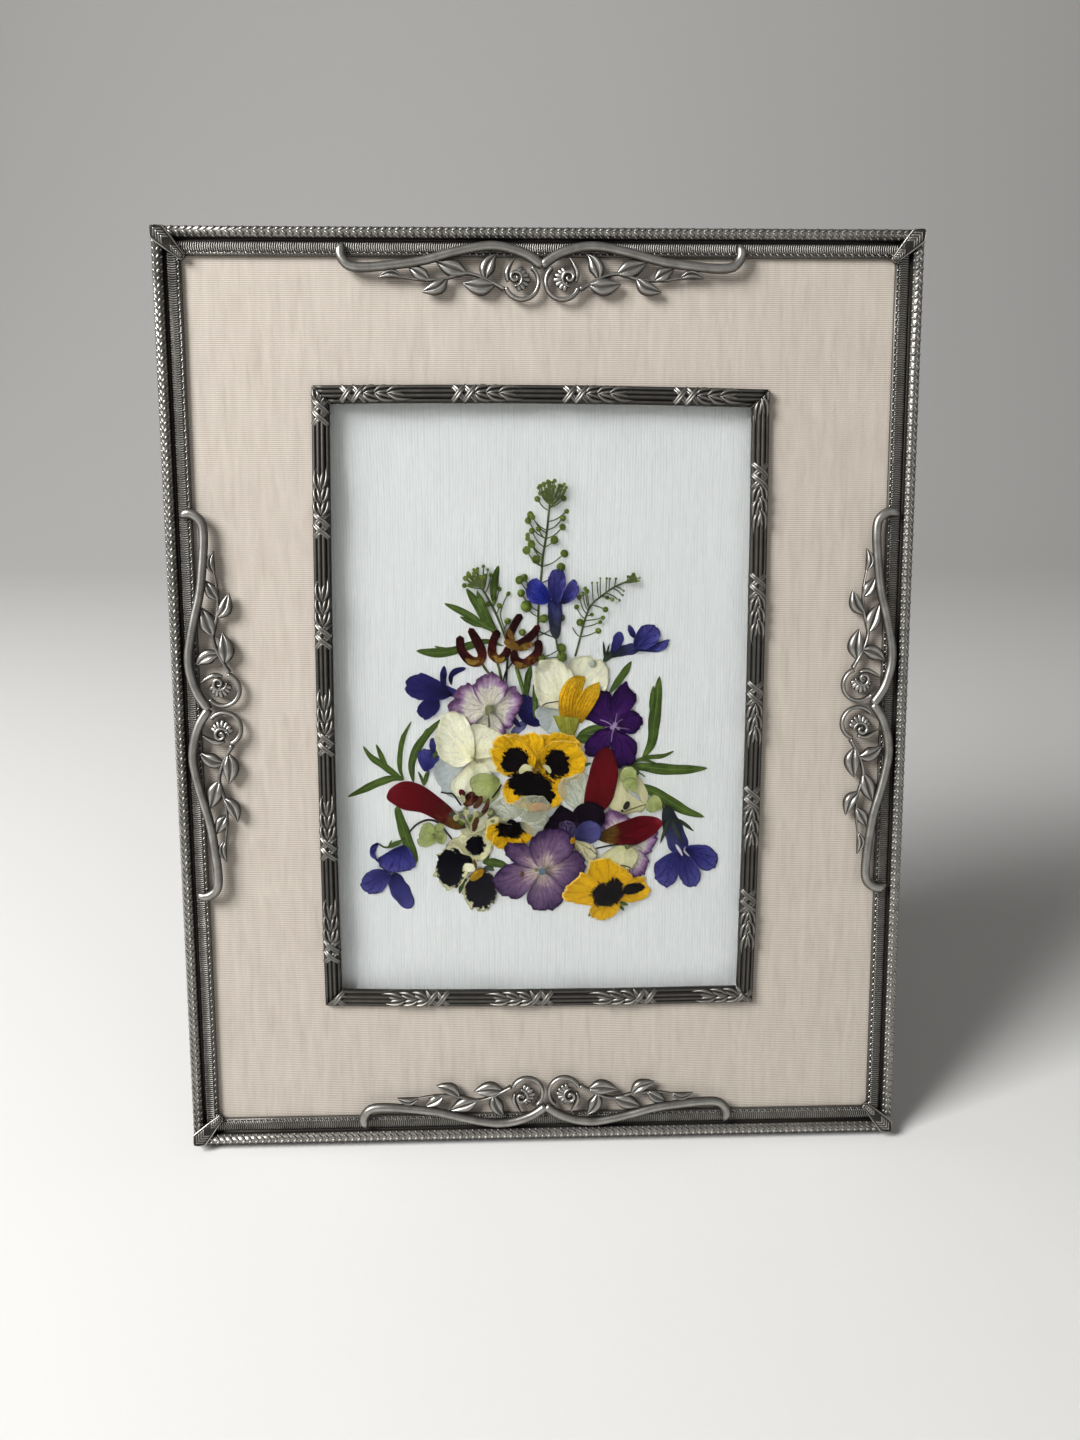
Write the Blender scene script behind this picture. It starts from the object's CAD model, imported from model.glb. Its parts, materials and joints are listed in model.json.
import json
import math
from contextlib import contextmanager

import bmesh
import bpy
import numpy as np
from bpy.props import FloatProperty, FloatVectorProperty, PointerProperty
from mathutils import Matrix, Vector, noise

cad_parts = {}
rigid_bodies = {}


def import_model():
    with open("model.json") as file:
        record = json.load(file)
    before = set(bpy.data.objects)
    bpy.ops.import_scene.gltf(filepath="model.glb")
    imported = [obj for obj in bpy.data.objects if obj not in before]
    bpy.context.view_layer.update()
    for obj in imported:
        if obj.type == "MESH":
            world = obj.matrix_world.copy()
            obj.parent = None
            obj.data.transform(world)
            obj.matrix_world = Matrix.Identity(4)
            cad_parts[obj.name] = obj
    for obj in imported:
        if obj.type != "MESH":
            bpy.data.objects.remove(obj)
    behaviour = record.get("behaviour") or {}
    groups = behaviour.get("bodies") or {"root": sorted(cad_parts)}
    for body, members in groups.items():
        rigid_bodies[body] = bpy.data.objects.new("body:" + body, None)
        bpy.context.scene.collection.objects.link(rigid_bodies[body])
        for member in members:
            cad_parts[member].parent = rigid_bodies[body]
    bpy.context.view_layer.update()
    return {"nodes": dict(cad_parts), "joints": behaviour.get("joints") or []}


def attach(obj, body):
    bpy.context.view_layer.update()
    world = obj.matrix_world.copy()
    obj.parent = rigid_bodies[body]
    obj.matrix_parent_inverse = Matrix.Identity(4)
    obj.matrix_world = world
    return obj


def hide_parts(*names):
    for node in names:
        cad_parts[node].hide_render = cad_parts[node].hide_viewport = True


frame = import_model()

bl_info = {
    "name": "Pressed Flower Frame",
    "version": (1, 0, 0),
    "blender": (4, 5, 0),
    "location": "3D View > Sidebar > Pressed Flowers",
    "description": "Builds a standing metal picture frame with pressed flowers behind its glass",
    "category": "Object",
}

# ---------------------------------------------------------------- sizes, in millimetres
MM = 0.001
WIDTH, HEIGHT = 216.0, 268.5
LEAN = math.radians(12)
HINGE_HEIGHT, HINGE_DEPTH = 160.0, 2.2
STRUT_LEAN = math.radians(12)
SEAM = 0.15
CARD_TOP = 4.0
PANE_UNDERSIDE = 5.9
WINDOW_OUTER = (130.4, 182.6)
WINDOW_RAIL = 5.0
WINDOW_BASE = 7.25
WINDOW_CENTRE = (-0.8, HEIGHT / 2 - 0.15)
WINDOW_TURN = math.radians(-0.45)
ORNAMENT_BASE = 8.8
LAID_PITCH = 0.86

# ---------------------------------------------------------------- spaces
# Pieces are drawn in millimetres in a flat space of their own and taken to the row frame by one matrix.
# Face space: X to the right, Y up the face from its bottom edge, Z out of the face from the back of the rails.


def face_matrix():
    """Face space to the row frame, from the hinge that both share."""
    turn = Matrix.Rotation(math.pi / 2 - LEAN, 4, "X")
    pin = turn @ Vector((0, HINGE_HEIGHT * MM, -HINGE_DEPTH * MM))
    hinge = Vector(frame["joints"][0]["pos_m"])
    return Matrix.Translation(hinge - pin) @ turn @ Matrix.Scale(MM, 4)


def strut_matrix():
    """Strut space to the row frame: Y up the strut from the hinge pin, Z towards the viewer."""
    hinge = Matrix.Translation(Vector(frame["joints"][0]["pos_m"]))
    return hinge @ Matrix.Rotation(math.pi / 2 + STRUT_LEAN, 4, "X") @ Matrix.Scale(MM, 4)


FACE = face_matrix()
STRUT = strut_matrix()
# Window space: the face, turned and centred on the window.
WINDOW = FACE @ Matrix.Translation((*WINDOW_CENTRE, 0)) @ Matrix.Rotation(WINDOW_TURN, 4, "Z")

# Side space: a rail with its outer edge along Y = 0, the frame's middle towards +Y.
SIDES = {"bottom": (0, 0, -1), "right": (90, 1, 0), "top": (180, 0, 1), "left": (-90, -1, 0)}


def side_matrix(side, size):
    """Side space to a space whose origin is the middle of a rectangle of that size."""
    turn, x, y = SIDES[side]
    place = Matrix.Translation((x * size[0] / 2, y * size[1] / 2, 0))
    return place @ Matrix.Rotation(math.radians(turn), 4, "Z")


def outer_side(side):
    return FACE @ Matrix.Translation((0, HEIGHT / 2, 0)) @ side_matrix(side, (WIDTH, HEIGHT))


def side_length(side, size):
    return size[1] if SIDES[side][1] else size[0]


# ---------------------------------------------------------------- meshes
def new_mesh(name, verts, faces, wear=None, uvs=None):
    """A mesh from points and faces. wear is a value per point, and uvs a pair per point."""
    mesh = bpy.data.meshes.new(name)
    mesh.from_pydata([tuple(map(float, v)) for v in verts], [], [tuple(map(int, f)) for f in faces])
    if wear is not None:
        layer = mesh.attributes.new("wear", "FLOAT", "POINT")
        layer.data.foreach_set("value", np.asarray(wear, np.float32))
    if uvs is not None:
        loops = np.zeros(len(mesh.loops), np.int32)
        mesh.loops.foreach_get("vertex_index", loops)
        layer = mesh.uv_layers.new(name="grain")
        layer.data.foreach_set("uv", np.asarray(uvs, np.float32)[loops].ravel())
    mesh.polygons.foreach_set("use_smooth", [True] * len(mesh.polygons))
    mesh.update()
    return mesh


@contextmanager
def edited(mesh):
    """A mesh opened for editing, and written back at the end."""
    bm = bmesh.new()
    bm.from_mesh(mesh)
    yield bm
    bm.to_mesh(mesh)
    bm.free()


def weld(mesh, distance=1e-4):
    """Merges doubles and turns every face outwards."""
    with edited(mesh) as bm:
        bmesh.ops.remove_doubles(bm, verts=bm.verts, dist=distance)
        bmesh.ops.dissolve_degenerate(bm, edges=bm.edges, dist=distance * 0.1)
        bmesh.ops.recalc_face_normals(bm, faces=bm.faces)
    return mesh


def add_object(name, mesh):
    piece = bpy.data.objects.new(name, mesh)
    bpy.context.scene.collection.objects.link(piece)
    return piece


def settle(piece, matrix, material, body="frame", nodes=()):
    """Takes a finished piece to the row frame and says which body and CAD nodes it belongs to."""
    piece.data.transform(matrix)
    if material is not None:
        piece.data.materials.clear()
        piece.data.materials.append(material)
    piece.data.update()
    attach(piece, body)
    if nodes:
        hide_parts(*nodes)
    return piece


def ring_quads(rings, around):
    """Quads between rings of points that follow each other."""
    starts = [(k * around, i) for k in range(rings - 1) for i in range(around)]
    pairs = [(start + i, start + (i + 1) % around) for start, i in starts]
    return [(a, b, b + around, a + around) for a, b in pairs]


def grid_quads(rows, columns):
    """Quads of a grid of points that are listed row by row."""
    corners = [r * columns + c for r in range(rows - 1) for c in range(columns - 1)]
    return [(a, a + 1, a + 1 + columns, a + columns) for a in corners]


def tube_rings(rings):
    """Quads round a list of rings with the same number of points, with both ends capped."""
    count = len(rings[0])
    ends = [tuple(range(count))[::-1], tuple(range((len(rings) - 1) * count, len(rings) * count))]
    return [p for ring in rings for p in ring], ring_quads(len(rings), count) + ends


def smooth_path(points, count):
    """Points evenly spaced by length along a Catmull-Rom curve through the given points."""
    p = np.asarray(points, float)
    p = np.vstack([2 * p[0] - p[1], p, 2 * p[-1] - p[-2]])
    fine = []
    for i in range(1, len(p) - 2):
        for t in np.linspace(0, 1, 24, endpoint=False):
            a, b, c, d = p[i - 1], p[i], p[i + 1], p[i + 2]
            bend = (2 * a - 5 * b + 4 * c - d) * t**2
            fine.append(0.5 * (2 * b + (c - a) * t + bend + (3 * b - a - 3 * c + d) * t**3))
    fine = np.array(fine + [p[-2]])
    run = np.concatenate([[0], np.cumsum(np.linalg.norm(np.diff(fine, axis=0), axis=1))])
    at = np.linspace(0, run[-1], count)
    return np.stack([np.interp(at, run, fine[:, k]) for k in range(fine.shape[1])], 1)


def sideways(path):
    """Unit normals to the left of a flat path."""
    along = np.gradient(path[:, :2], axis=0)
    along /= np.maximum(np.linalg.norm(along, axis=1, keepdims=True), 1e-9)
    return np.stack([-along[:, 1], along[:, 0]], 1)


# ---------------------------------------------------------------- shader maths
class Wire:
    """One output of a shader node. Arithmetic on it adds Math nodes."""

    def __init__(self, paint, socket):
        self.paint, self.socket = paint, socket

    def __add__(self, other):
        return self.paint.maths("ADD", self, other)

    def __sub__(self, other):
        return self.paint.maths("SUBTRACT", self, other)

    def __rsub__(self, other):
        return self.paint.maths("SUBTRACT", other, self)

    def __mul__(self, other):
        return self.paint.maths("MULTIPLY", self, other)

    __radd__, __rmul__ = __add__, __mul__


class Paint:
    """A material under construction, with one Principled shader."""

    def __init__(self, name, **constants):
        self.material = bpy.data.materials.new(name)
        self.material.use_nodes = True
        self.tree = self.material.node_tree
        self.tree.nodes.clear()
        self.shader = self.tree.nodes.new("ShaderNodeBsdfPrincipled")
        output = self.tree.nodes.new("ShaderNodeOutputMaterial")
        self.tree.links.new(self.shader.outputs[0], output.inputs[0])
        for socket, value in constants.items():
            self.shader.inputs[socket.replace("_", " ")].default_value = value

    def plug(self, socket, value):
        """Links a wire to a socket, or sets its value."""
        if isinstance(value, Wire):
            self.tree.links.new(value.socket, socket)
        elif hasattr(socket.default_value, "__len__") and not isinstance(value, (int, float)):
            socket.default_value = tuple(value) + (1.0,) * (len(socket.default_value) - len(value))
        else:
            socket.default_value = value

    def node(self, kind, settings=None, sockets=None, output=0):
        """Any node: its type, its settings, its sockets by name or number, and the output that is wanted."""
        made = self.tree.nodes.new(kind)
        for key, value in (settings or {}).items():
            setattr(made, key, value)
        for key, value in (sockets or {}).items():
            self.plug(made.inputs[key], value)
        return Wire(self, made.outputs[output])

    def maths(self, operation, a, b=0.0):
        return self.node("ShaderNodeMath", {"operation": operation}, {0: a, 1: b})

    def mix(self, factor, a, b):
        return self.node("ShaderNodeMix", {"data_type": "RGBA"}, {0: factor, 6: a, 7: b}, 2)

    def ramp(self, value, stops):
        """Tones by their place: the first at 0 and the last at 1."""
        made = self.node("ShaderNodeValToRGB", None, {"Fac": value})
        elements = made.socket.node.color_ramp.elements
        for place, _ in stops[1:-1]:
            elements.new(place)
        for element, (place, colour) in zip(elements, stops):
            element.position, element.color = place, (*colour, 1)
        return made

    def step(self, value, low, high):
        """0 below low and 1 above high, with a smooth change between."""
        settings = {"interpolation_type": "SMOOTHSTEP"}
        return self.node("ShaderNodeMapRange", settings, {"Value": value, "From Min": low, "From Max": high})

    def noise(self, vector, scale, detail=3.0, rough=0.55):
        sockets = {"Vector": vector, "Scale": scale, "Detail": detail, "Roughness": rough}
        return self.node("ShaderNodeTexNoise", None, sockets)

    def place(self, matrix):
        """Object coordinates taken back into the millimetres of the space that a matrix comes from."""
        back = matrix.inverted()
        sockets = {"Vector": self.node("ShaderNodeTexCoord", output="Object"), "Location": back.to_translation()}
        sockets.update(Rotation=back.to_euler(), Scale=back.to_scale())
        return self.node("ShaderNodeMapping", None, sockets)

    def stretch(self, vector, factors):
        return self.node("ShaderNodeVectorMath", {"operation": "MULTIPLY"}, {0: vector, 1: factors})

    def parts(self, vector):
        """The X, Y and Z of a vector."""
        split = self.tree.nodes.new("ShaderNodeSeparateXYZ")
        self.plug(split.inputs[0], vector)
        return [Wire(self, out) for out in split.outputs]

    def join(self, x, y, z=0.0):
        return self.node("ShaderNodeCombineXYZ", None, {0: x, 1: y, 2: z})

    def grain(self):
        """Along and across of the piece's own UV map."""
        return self.node("ShaderNodeUVMap", {"uv_map": "grain"})

    def attribute(self, name):
        return self.node("ShaderNodeAttribute", {"attribute_name": name}, None, "Fac")

    def bump(self, height, distance, strength=1.0):
        return self.node("ShaderNodeBump", None, {"Height": height, "Distance": distance * MM, "Strength": strength})

    def done(self, **links):
        for socket, value in links.items():
            self.plug(self.shader.inputs[socket.replace("_", " ")], value)
        return self.material


FINISHES = {}


def finish(maker):
    """Makes each finish once, by its function."""

    def once():
        if maker.__name__ not in FINISHES:
            FINISHES[maker.__name__] = maker()
        return FINISHES[maker.__name__]

    return once


def sizes():
    return bpy.context.scene.pressed_frame_sizes


def colours():
    return bpy.context.scene.pressed_frame_colours


@finish
def pewter():
    """Cast metal, dark in the hollows and rubbed bright on the high points."""
    p = Paint("pewter")
    at = p.place(FACE)
    tone = colours()
    mottle = p.noise(at, 0.3, 4.0)
    grit = p.noise(at, 4.0, 2.0)
    high = p.step(p.attribute("wear") + 0.16 * (mottle - 0.5), 0.05, 0.95)
    worn = p.mix(p.step(high + 0.3 * (mottle - 0.5), 0.4, 1.0), tone.pewter_mid, tone.pewter_bright)
    colour = p.mix(p.step(high, 0.0, 0.55), tone.pewter_dark, worn)
    rough = 0.48 - 0.2 * high + 0.1 * (mottle - 0.5)
    normal = p.bump(mottle * 0.7 + grit * 0.3, 0.03, 0.25)
    return p.done(Base_Color=colour, Metallic=0.7 + 0.25 * high, Roughness=rough, Normal=normal)


@finish
def moire():
    """Ribbed fabric with a watered pattern: ribs run across, streaks run down."""
    p = Paint("moire_fabric", Sheen_Weight=0.25, Sheen_Roughness=0.4, Specular_IOR_Level=0.3)
    tone = colours()
    at = p.place(FACE)
    x, y, _ = p.parts(at)
    drift = p.noise(p.stretch(at, (0.13, 0.035, 0)), 1.0, 3.0)
    water = p.noise(p.stretch(at, (0.55, 0.045, 0)), 1.0, 5.0, 0.66)
    swirl = p.noise(p.join(x * 0.55, y * 0.07, drift * 4.0), 1.0, 2.0)
    rib = 0.5 + 0.5 * p.maths("SINE", (y + drift * 0.16) * (2 * math.pi / sizes().rib_pitch))
    strength = p.step(water, 0.32, 0.66)
    slub = p.noise(p.stretch(at, (0.5, 6.0, 0)), 1.0, 2.0)
    body = p.mix(p.step(0.5 * swirl + 0.5 * water, 0.22, 0.64), tone.fabric_shade, tone.fabric_light)
    lines = p.mix(rib, tone.fabric_line, p.mix(0.35, body, (0.72, 0.66, 0.60)))
    colour = p.mix(0.34 + 0.5 * strength, body, lines)
    height = rib * (0.6 + 0.4 * strength) + 0.25 * slub
    rough = 0.62 + 0.16 * swirl
    return p.done(Base_Color=colour, Roughness=rough, Normal=p.bump(height, 0.06, 0.5))


@finish
def laid_card():
    """White card with faint laid lines that run up it."""
    p = Paint("laid_card", Specular_IOR_Level=0.25)
    at = p.place(WINDOW)
    x, _, _ = p.parts(at)
    sway = p.noise(p.stretch(at, (0.05, 0.02, 0)), 1.0, 2.0)
    fibre = p.noise(p.stretch(at, (3.2, 0.25, 0)), 1.0, 4.0, 0.65)
    laid = 0.5 + 0.5 * p.maths("SINE", (x + sway * 3.0) * (2 * math.pi / LAID_PITCH))
    tooth = p.noise(at, 5.0, 3.0)
    band = p.noise(p.stretch(at, (1.1, 0.05, 0)), 1.0, 3.0, 0.6)
    pale = colours().card
    colour = p.mix(p.step(fibre, 0.25, 0.75), tuple(0.9 * c for c in pale), pale)
    colour = p.mix(0.3 * laid * p.step(band, 0.3, 0.7), colour, tuple(0.6 * c for c in pale))
    height = 0.5 * fibre + 0.8 * laid * band + 0.3 * tooth
    return p.done(Base_Color=colour, Roughness=0.85, Normal=p.bump(height, 0.09, 0.8))


@finish
def velvet():
    """Black flock on board, with lint and rubbed patches."""
    p = Paint("velvet", Sheen_Weight=0.6, Sheen_Roughness=0.35, Specular_IOR_Level=0.2)
    at = p.place(FACE)
    pile = p.noise(at, 6.0, 3.0)
    rubbed = p.noise(at, 0.06, 4.0)
    colour = p.mix(p.step(rubbed, 0.45, 0.75), (0.008, 0.008, 0.010), (0.020, 0.020, 0.023))
    colour = p.mix(p.step(pile, 0.62, 0.72) * 0.5, colour, (0.035, 0.034, 0.036))
    return p.done(Base_Color=colour, Roughness=0.95, Normal=p.bump(pile, 0.12, 0.7))


@finish
def steel():
    """Rolled hinge steel with fine drawn lines."""
    p = Paint("hinge_steel", Metallic=1.0)
    at = p.place(FACE)
    drawn = p.noise(p.stretch(at, (0.4, 9.0, 9.0)), 1.0, 4.0)
    stain = p.noise(at, 0.35, 4.0)
    colour = p.mix(p.step(stain, 0.45, 0.75), (0.46, 0.45, 0.43), (0.26, 0.24, 0.21))
    return p.done(Base_Color=colour, Roughness=0.24 + 0.22 * drawn, Normal=p.bump(drawn, 0.02, 0.3))


@finish
def board_edge():
    """Plain grey board, seen only at its cut edges."""
    p = Paint("board_edge")
    at = p.place(FACE)
    ply = p.noise(p.stretch(at, (0.4, 0.4, 9.0)), 1.0, 3.0)
    colour = p.mix(ply, (0.25, 0.22, 0.18), (0.38, 0.34, 0.28))
    return p.done(Base_Color=colour, Roughness=0.9, Normal=p.bump(ply, 0.08, 0.5))


@finish
def window_glass():
    """Clear glass that mirrors very little of the room."""
    p = Paint("window_glass", Transmission_Weight=1.0, IOR=1.2, Roughness=0.0, Specular_IOR_Level=0.04)
    return p.done(Base_Color=(0.985, 0.995, 0.99))


# ---------------------------------------------------------------- sizes and colours a user may change
def length(name, description, default):
    """A size in millimetres."""
    return FloatProperty(name=name, description=description, default=default, min=0.05, soft_max=50.0)


def tint(name, description, default):
    return FloatVectorProperty(name=name, description=description, default=default, subtype="COLOR", min=0, max=1)


class PressedFrameSizes(bpy.types.PropertyGroup):
    plait_pitch: length("Plait pitch", "Step of the plait along the outer bead, in mm", 1.95)
    rib_step: length("Rib pitch", "Step of the fine ribs on the outer rail, in mm", 0.64)
    leaf_pitch: length("Leaf pitch", "Step of the small leaves along the inner edge, in mm", 1.93)
    rib_pitch: length("Fabric rib", "Step of the fabric's ribs, in mm", 0.566)
    bow: length("Inner rail bow", "How far the small frame's rails bow outwards, in mm", 0.7)
    petal: length("Petal thickness", "Thickness of a dried petal, in mm", 0.08)


class PressedFrameColours(bpy.types.PropertyGroup):
    pewter_dark: tint("Metal hollows", "Tarnish in the hollows of the metal", (0.030, 0.027, 0.023))
    pewter_mid: tint("Metal", "The metal's usual colour", (0.150, 0.141, 0.128))
    pewter_bright: tint("Rubbed metal", "The metal on its high points", (0.44, 0.424, 0.395))
    fabric_shade: tint("Fabric shade", "The darker streaks of the watered fabric", (0.375, 0.328, 0.276))
    fabric_light: tint("Fabric light", "The paler streaks of the watered fabric", (0.535, 0.482, 0.418))
    fabric_line: tint("Fabric furrow", "The furrows between the fabric's ribs", (0.26, 0.215, 0.175))
    card: tint("Card", "The laid card behind the flowers", (0.90, 0.915, 0.912))


# ---------------------------------------------------------------- geometry nodes
class Build:
    """A Geometry Nodes tree under construction, with named inputs."""

    def __init__(self, name, inputs):
        self.tree = bpy.data.node_groups.new(name, "GeometryNodeTree")
        sockets = self.tree.interface
        sockets.new_socket("Geometry", in_out="OUTPUT", socket_type="NodeSocketGeometry")
        self.identifiers = {}
        for label, kind in inputs.items():
            made = sockets.new_socket(label, in_out="INPUT", socket_type="NodeSocket" + kind)
            self.identifiers[label] = made.identifier
        self.given = self.tree.nodes.new("NodeGroupInput").outputs

    def node(self, kind, settings=None, sockets=None, output=0):
        made = self.tree.nodes.new(kind)
        for key, value in (settings or {}).items():
            setattr(made, key, value)
        for key, value in (sockets or {}).items():
            for one in value if isinstance(value, list) else [value]:
                if isinstance(one, bpy.types.NodeSocket):
                    self.tree.links.new(one, made.inputs[key])
                else:
                    made.inputs[key].default_value = one
        return made.outputs[output]

    def maths(self, operation, a, b=0.0):
        return self.node("ShaderNodeMath", {"operation": operation}, {0: a, 1: b})

    def shape(self, label):
        """The geometry of an object that is one of the tree's inputs."""
        return self.node("GeometryNodeObjectInfo", None, {"Object": self.given[label]}, "Geometry")

    def row(self, label, length, pitch):
        """Copies of a shape in a centred row along X."""
        count = self.maths("FLOOR", self.maths("DIVIDE", length, pitch))
        start = self.maths("MULTIPLY", self.maths("SUBTRACT", count, 1.0), self.maths("MULTIPLY", pitch, -0.5))
        return self.copies(label, count, start, pitch)

    def copies(self, label, count, start, pitch):
        """So many copies of a shape along X, the first one at start."""
        sockets = {
            "Count": count,
            "Start Location": self.node("ShaderNodeCombineXYZ", None, {0: start}),
            "Offset": self.node("ShaderNodeCombineXYZ", None, {0: pitch}),
        }
        line = self.node("GeometryNodeMeshLine", {"mode": "OFFSET"}, sockets)
        return self.node("GeometryNodeInstanceOnPoints", None, {"Points": line, "Instance": self.shape(label)})

    def bake(self, name, geometry, values, material):
        """Closes the tree, runs it once on an empty mesh and returns the result as a plain mesh."""
        real = self.node("GeometryNodeRealizeInstances", None, {0: geometry})
        done = self.node("GeometryNodeSetMaterial", None, {"Geometry": real, "Material": material})
        output = self.tree.nodes.new("NodeGroupOutput")
        self.tree.links.new(done, output.inputs[0])
        holder = add_object(name + "_holder", bpy.data.meshes.new(name))
        modifier = holder.modifiers.new("build", "NODES")
        modifier.node_group = self.tree
        for label, value in values.items():
            modifier[self.identifiers[label]] = value
        bpy.context.view_layer.update()
        graph = bpy.context.evaluated_depsgraph_get()
        mesh = bpy.data.meshes.new_from_object(holder.evaluated_get(graph))
        holder.modifiers.remove(modifier)
        bpy.data.objects.remove(holder)
        return mesh


class Pattern:
    """Small shapes that a Geometry Nodes tree repeats. They exist only while the tree runs."""

    def __init__(self, **shapes):
        self.objects = {label.replace("_", " "): add_object(label, mesh) for label, mesh in shapes.items()}

    def __enter__(self):
        return self.objects

    def __exit__(self, *_):
        for piece in self.objects.values():
            bpy.data.objects.remove(piece)


# ---------------------------------------------------------------- cast shapes
def lobe_mesh(length, width, height, tilt=0.0, at=(0, 0, 0), around=8, rings=5, wear=(0.1, 1.0)):
    """A smooth half egg, fatter behind its middle, lying along X and turned by tilt degrees."""
    turn = math.radians(tilt)
    verts, shine = [], []
    for k in range(rings + 1):
        level = k / rings
        rim = math.cos(level * math.pi / 2)
        for i in range(around):
            a = 2 * math.pi * i / around
            x = rim * length / 2 * math.cos(a)
            y = rim * width / 2 * math.sin(a) * (1 - 0.25 * math.cos(a))
            z = height * math.sin(level * math.pi / 2)
            across, along = x * math.cos(turn) - y * math.sin(turn), x * math.sin(turn) + y * math.cos(turn)
            verts.append((at[0] + across, at[1] + along, at[2] + z))
            shine.append(wear[0] + (wear[1] - wear[0]) * level)
    faces = [tuple(range(around))[::-1]] + ring_quads(rings + 1, around)
    return weld(new_mesh("lobe", verts, faces, shine), 1e-3)


def blade(path, width, height, base=0.0, across=6, crown=1.0, groove=0.0, wear=(0.05, 0.75), end=0.0):
    """A ridged strip along a flat path. width and height are values per station of the path."""
    side = sideways(path)
    verts, shine = [], []
    for k, (at, left) in enumerate(zip(path, side)):
        for j in range(across + 1):
            s = 2 * j / across - 1
            arch = max(0.0, 1 - abs(s) ** 2.2) ** (0.5 * crown)
            arch -= groove * math.exp(-((s / 0.22) ** 2))
            x, y = at[:2] + left * s * width[k] / 2
            verts.append((x, y, base + (at[2] if len(at) > 2 else 0.0) + height[k] * arch))
            shine.append(wear[0] + (wear[1] - wear[0]) * max(0.0, arch))
    stations, row = len(path), across + 1
    top = len(verts)
    faces = grid_quads(stations, row)
    for k, (at, left) in enumerate(zip(path, side)):
        for s in (-1, 1):
            x, y = at[:2] + left * s * width[k] / 2
            verts.append((x, y, base + (at[2] if len(at) > 2 else 0.0) - end))
            shine.append(wear[0])
    for k in range(stations - 1):
        a, low = k * row, top + 2 * k
        faces.append((a, a + row, low + 2, low))
        faces.append((a + across, low + 1, low + 3, a + across + row))
        faces.append((low, low + 2, low + 3, low + 1))
    for k in (0, stations - 1):
        ring = [k * row + j for j in range(row)] + [top + 2 * k + 1, top + 2 * k]
        faces.append(tuple(ring))
    return verts, faces, shine


def merge(name, pieces, close=1e-3):
    """One mesh from several (points, faces, wear) lists."""
    verts, faces, wear = [], [], []
    for v, f, w in pieces:
        start = len(verts)
        verts += list(v)
        faces += [tuple(i + start for i in face) for face in f]
        wear += list(w)
    return weld(new_mesh(name, verts, faces, wear), close)


def taper(count, start, middle, stop, peak=0.4):
    """Values along a strip that swell from start to middle and narrow to stop."""
    t = np.linspace(0, 1, count)
    rise = np.clip(t / peak, 0, 1)
    fall = np.clip((t - peak) / (1 - peak), 0, 1)
    up = start + (middle - start) * np.sin(rise * math.pi / 2)
    return np.where(t < peak, up, stop + (middle - stop) * np.cos(fall * math.pi / 2))


# ---------------------------------------------------------------- outer rails
BEAD = (1.5, 8.6, 1.65)  # its middle from the outer edge, its foot and its height over the foot
BAND = (3.95, 6.7, 8.35)  # the ribbed band: where it starts and ends, and its height
LEAF_LINE = 7.05
BAR_SECTION = [(0, 0), (0, 8.5)] + [
    (BEAD[0] - BEAD[0] * math.cos(a), BEAD[1] + BEAD[2] * math.sin(a)) for a in np.linspace(0.1, math.pi - 0.1, 13)
] + [
    (3.12, 8.2), (3.3, 7.95), (3.72, 7.95), (3.85, 8.15), (BAND[0], BAND[2]), (BAND[1], BAND[2]), (6.74, 8.26),
    (6.8, 8.42), (7.3, 8.46), (7.52, 8.35), (7.65, 8.1), (7.65, 7.45), (4.0, 7.45), (4.0, 0),
]
TAB = {"width": 9.0, "reach": 5.0, "thickness": 0.6, "places": (-0.27, 0.27)}


def bar_piece(length, section, stations, wear_of):
    """A straight bar with mitred ends, from its section as pairs of inwards and height."""
    rings, wear = [], []
    for along in stations:
        ring = []
        for inwards, height in section:
            reach = length / 2 - inwards - SEAM
            ring.append((max(-reach, min(reach, along)), inwards, height))
            wear.append(wear_of(inwards, height))
        rings.append(ring)
    verts, faces = tube_rings(rings)
    return verts, faces, wear


def outer_wear(inwards, height):
    if inwards < 0.05 or height < 7.6:
        return 0.35
    if 2.95 < inwards < BAND[0] - 0.01:
        return 0.0
    return 0.6 if inwards < 2.95 else 0.4


def tab_piece(place):
    """A small tongue bent over the back board."""
    x0, x1 = place - TAB["width"] / 2, place + TAB["width"] / 2
    y0, y1 = 3.6, 4.0 + TAB["reach"]
    path = smooth_path([(x0, (y0 + y1) / 2), (x1, (y0 + y1) / 2)], 7)
    count = len(path)
    width = np.full(count, y1 - y0)
    width[0] = width[-1] = (y1 - y0) * 0.86
    return blade(path, width, np.full(count, 0.12), TAB["thickness"] - 0.12, 6, 0.3, 0, (0.3, 0.4), 0.45)


def bar_mesh(length):
    ends = np.linspace(-length / 2, length / 2, 9)
    pieces = [bar_piece(length, BAR_SECTION, ends, outer_wear)]
    pieces += [tab_piece(place * length) for place in TAB["places"]]
    return merge("bar", pieces, 1e-5)


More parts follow.
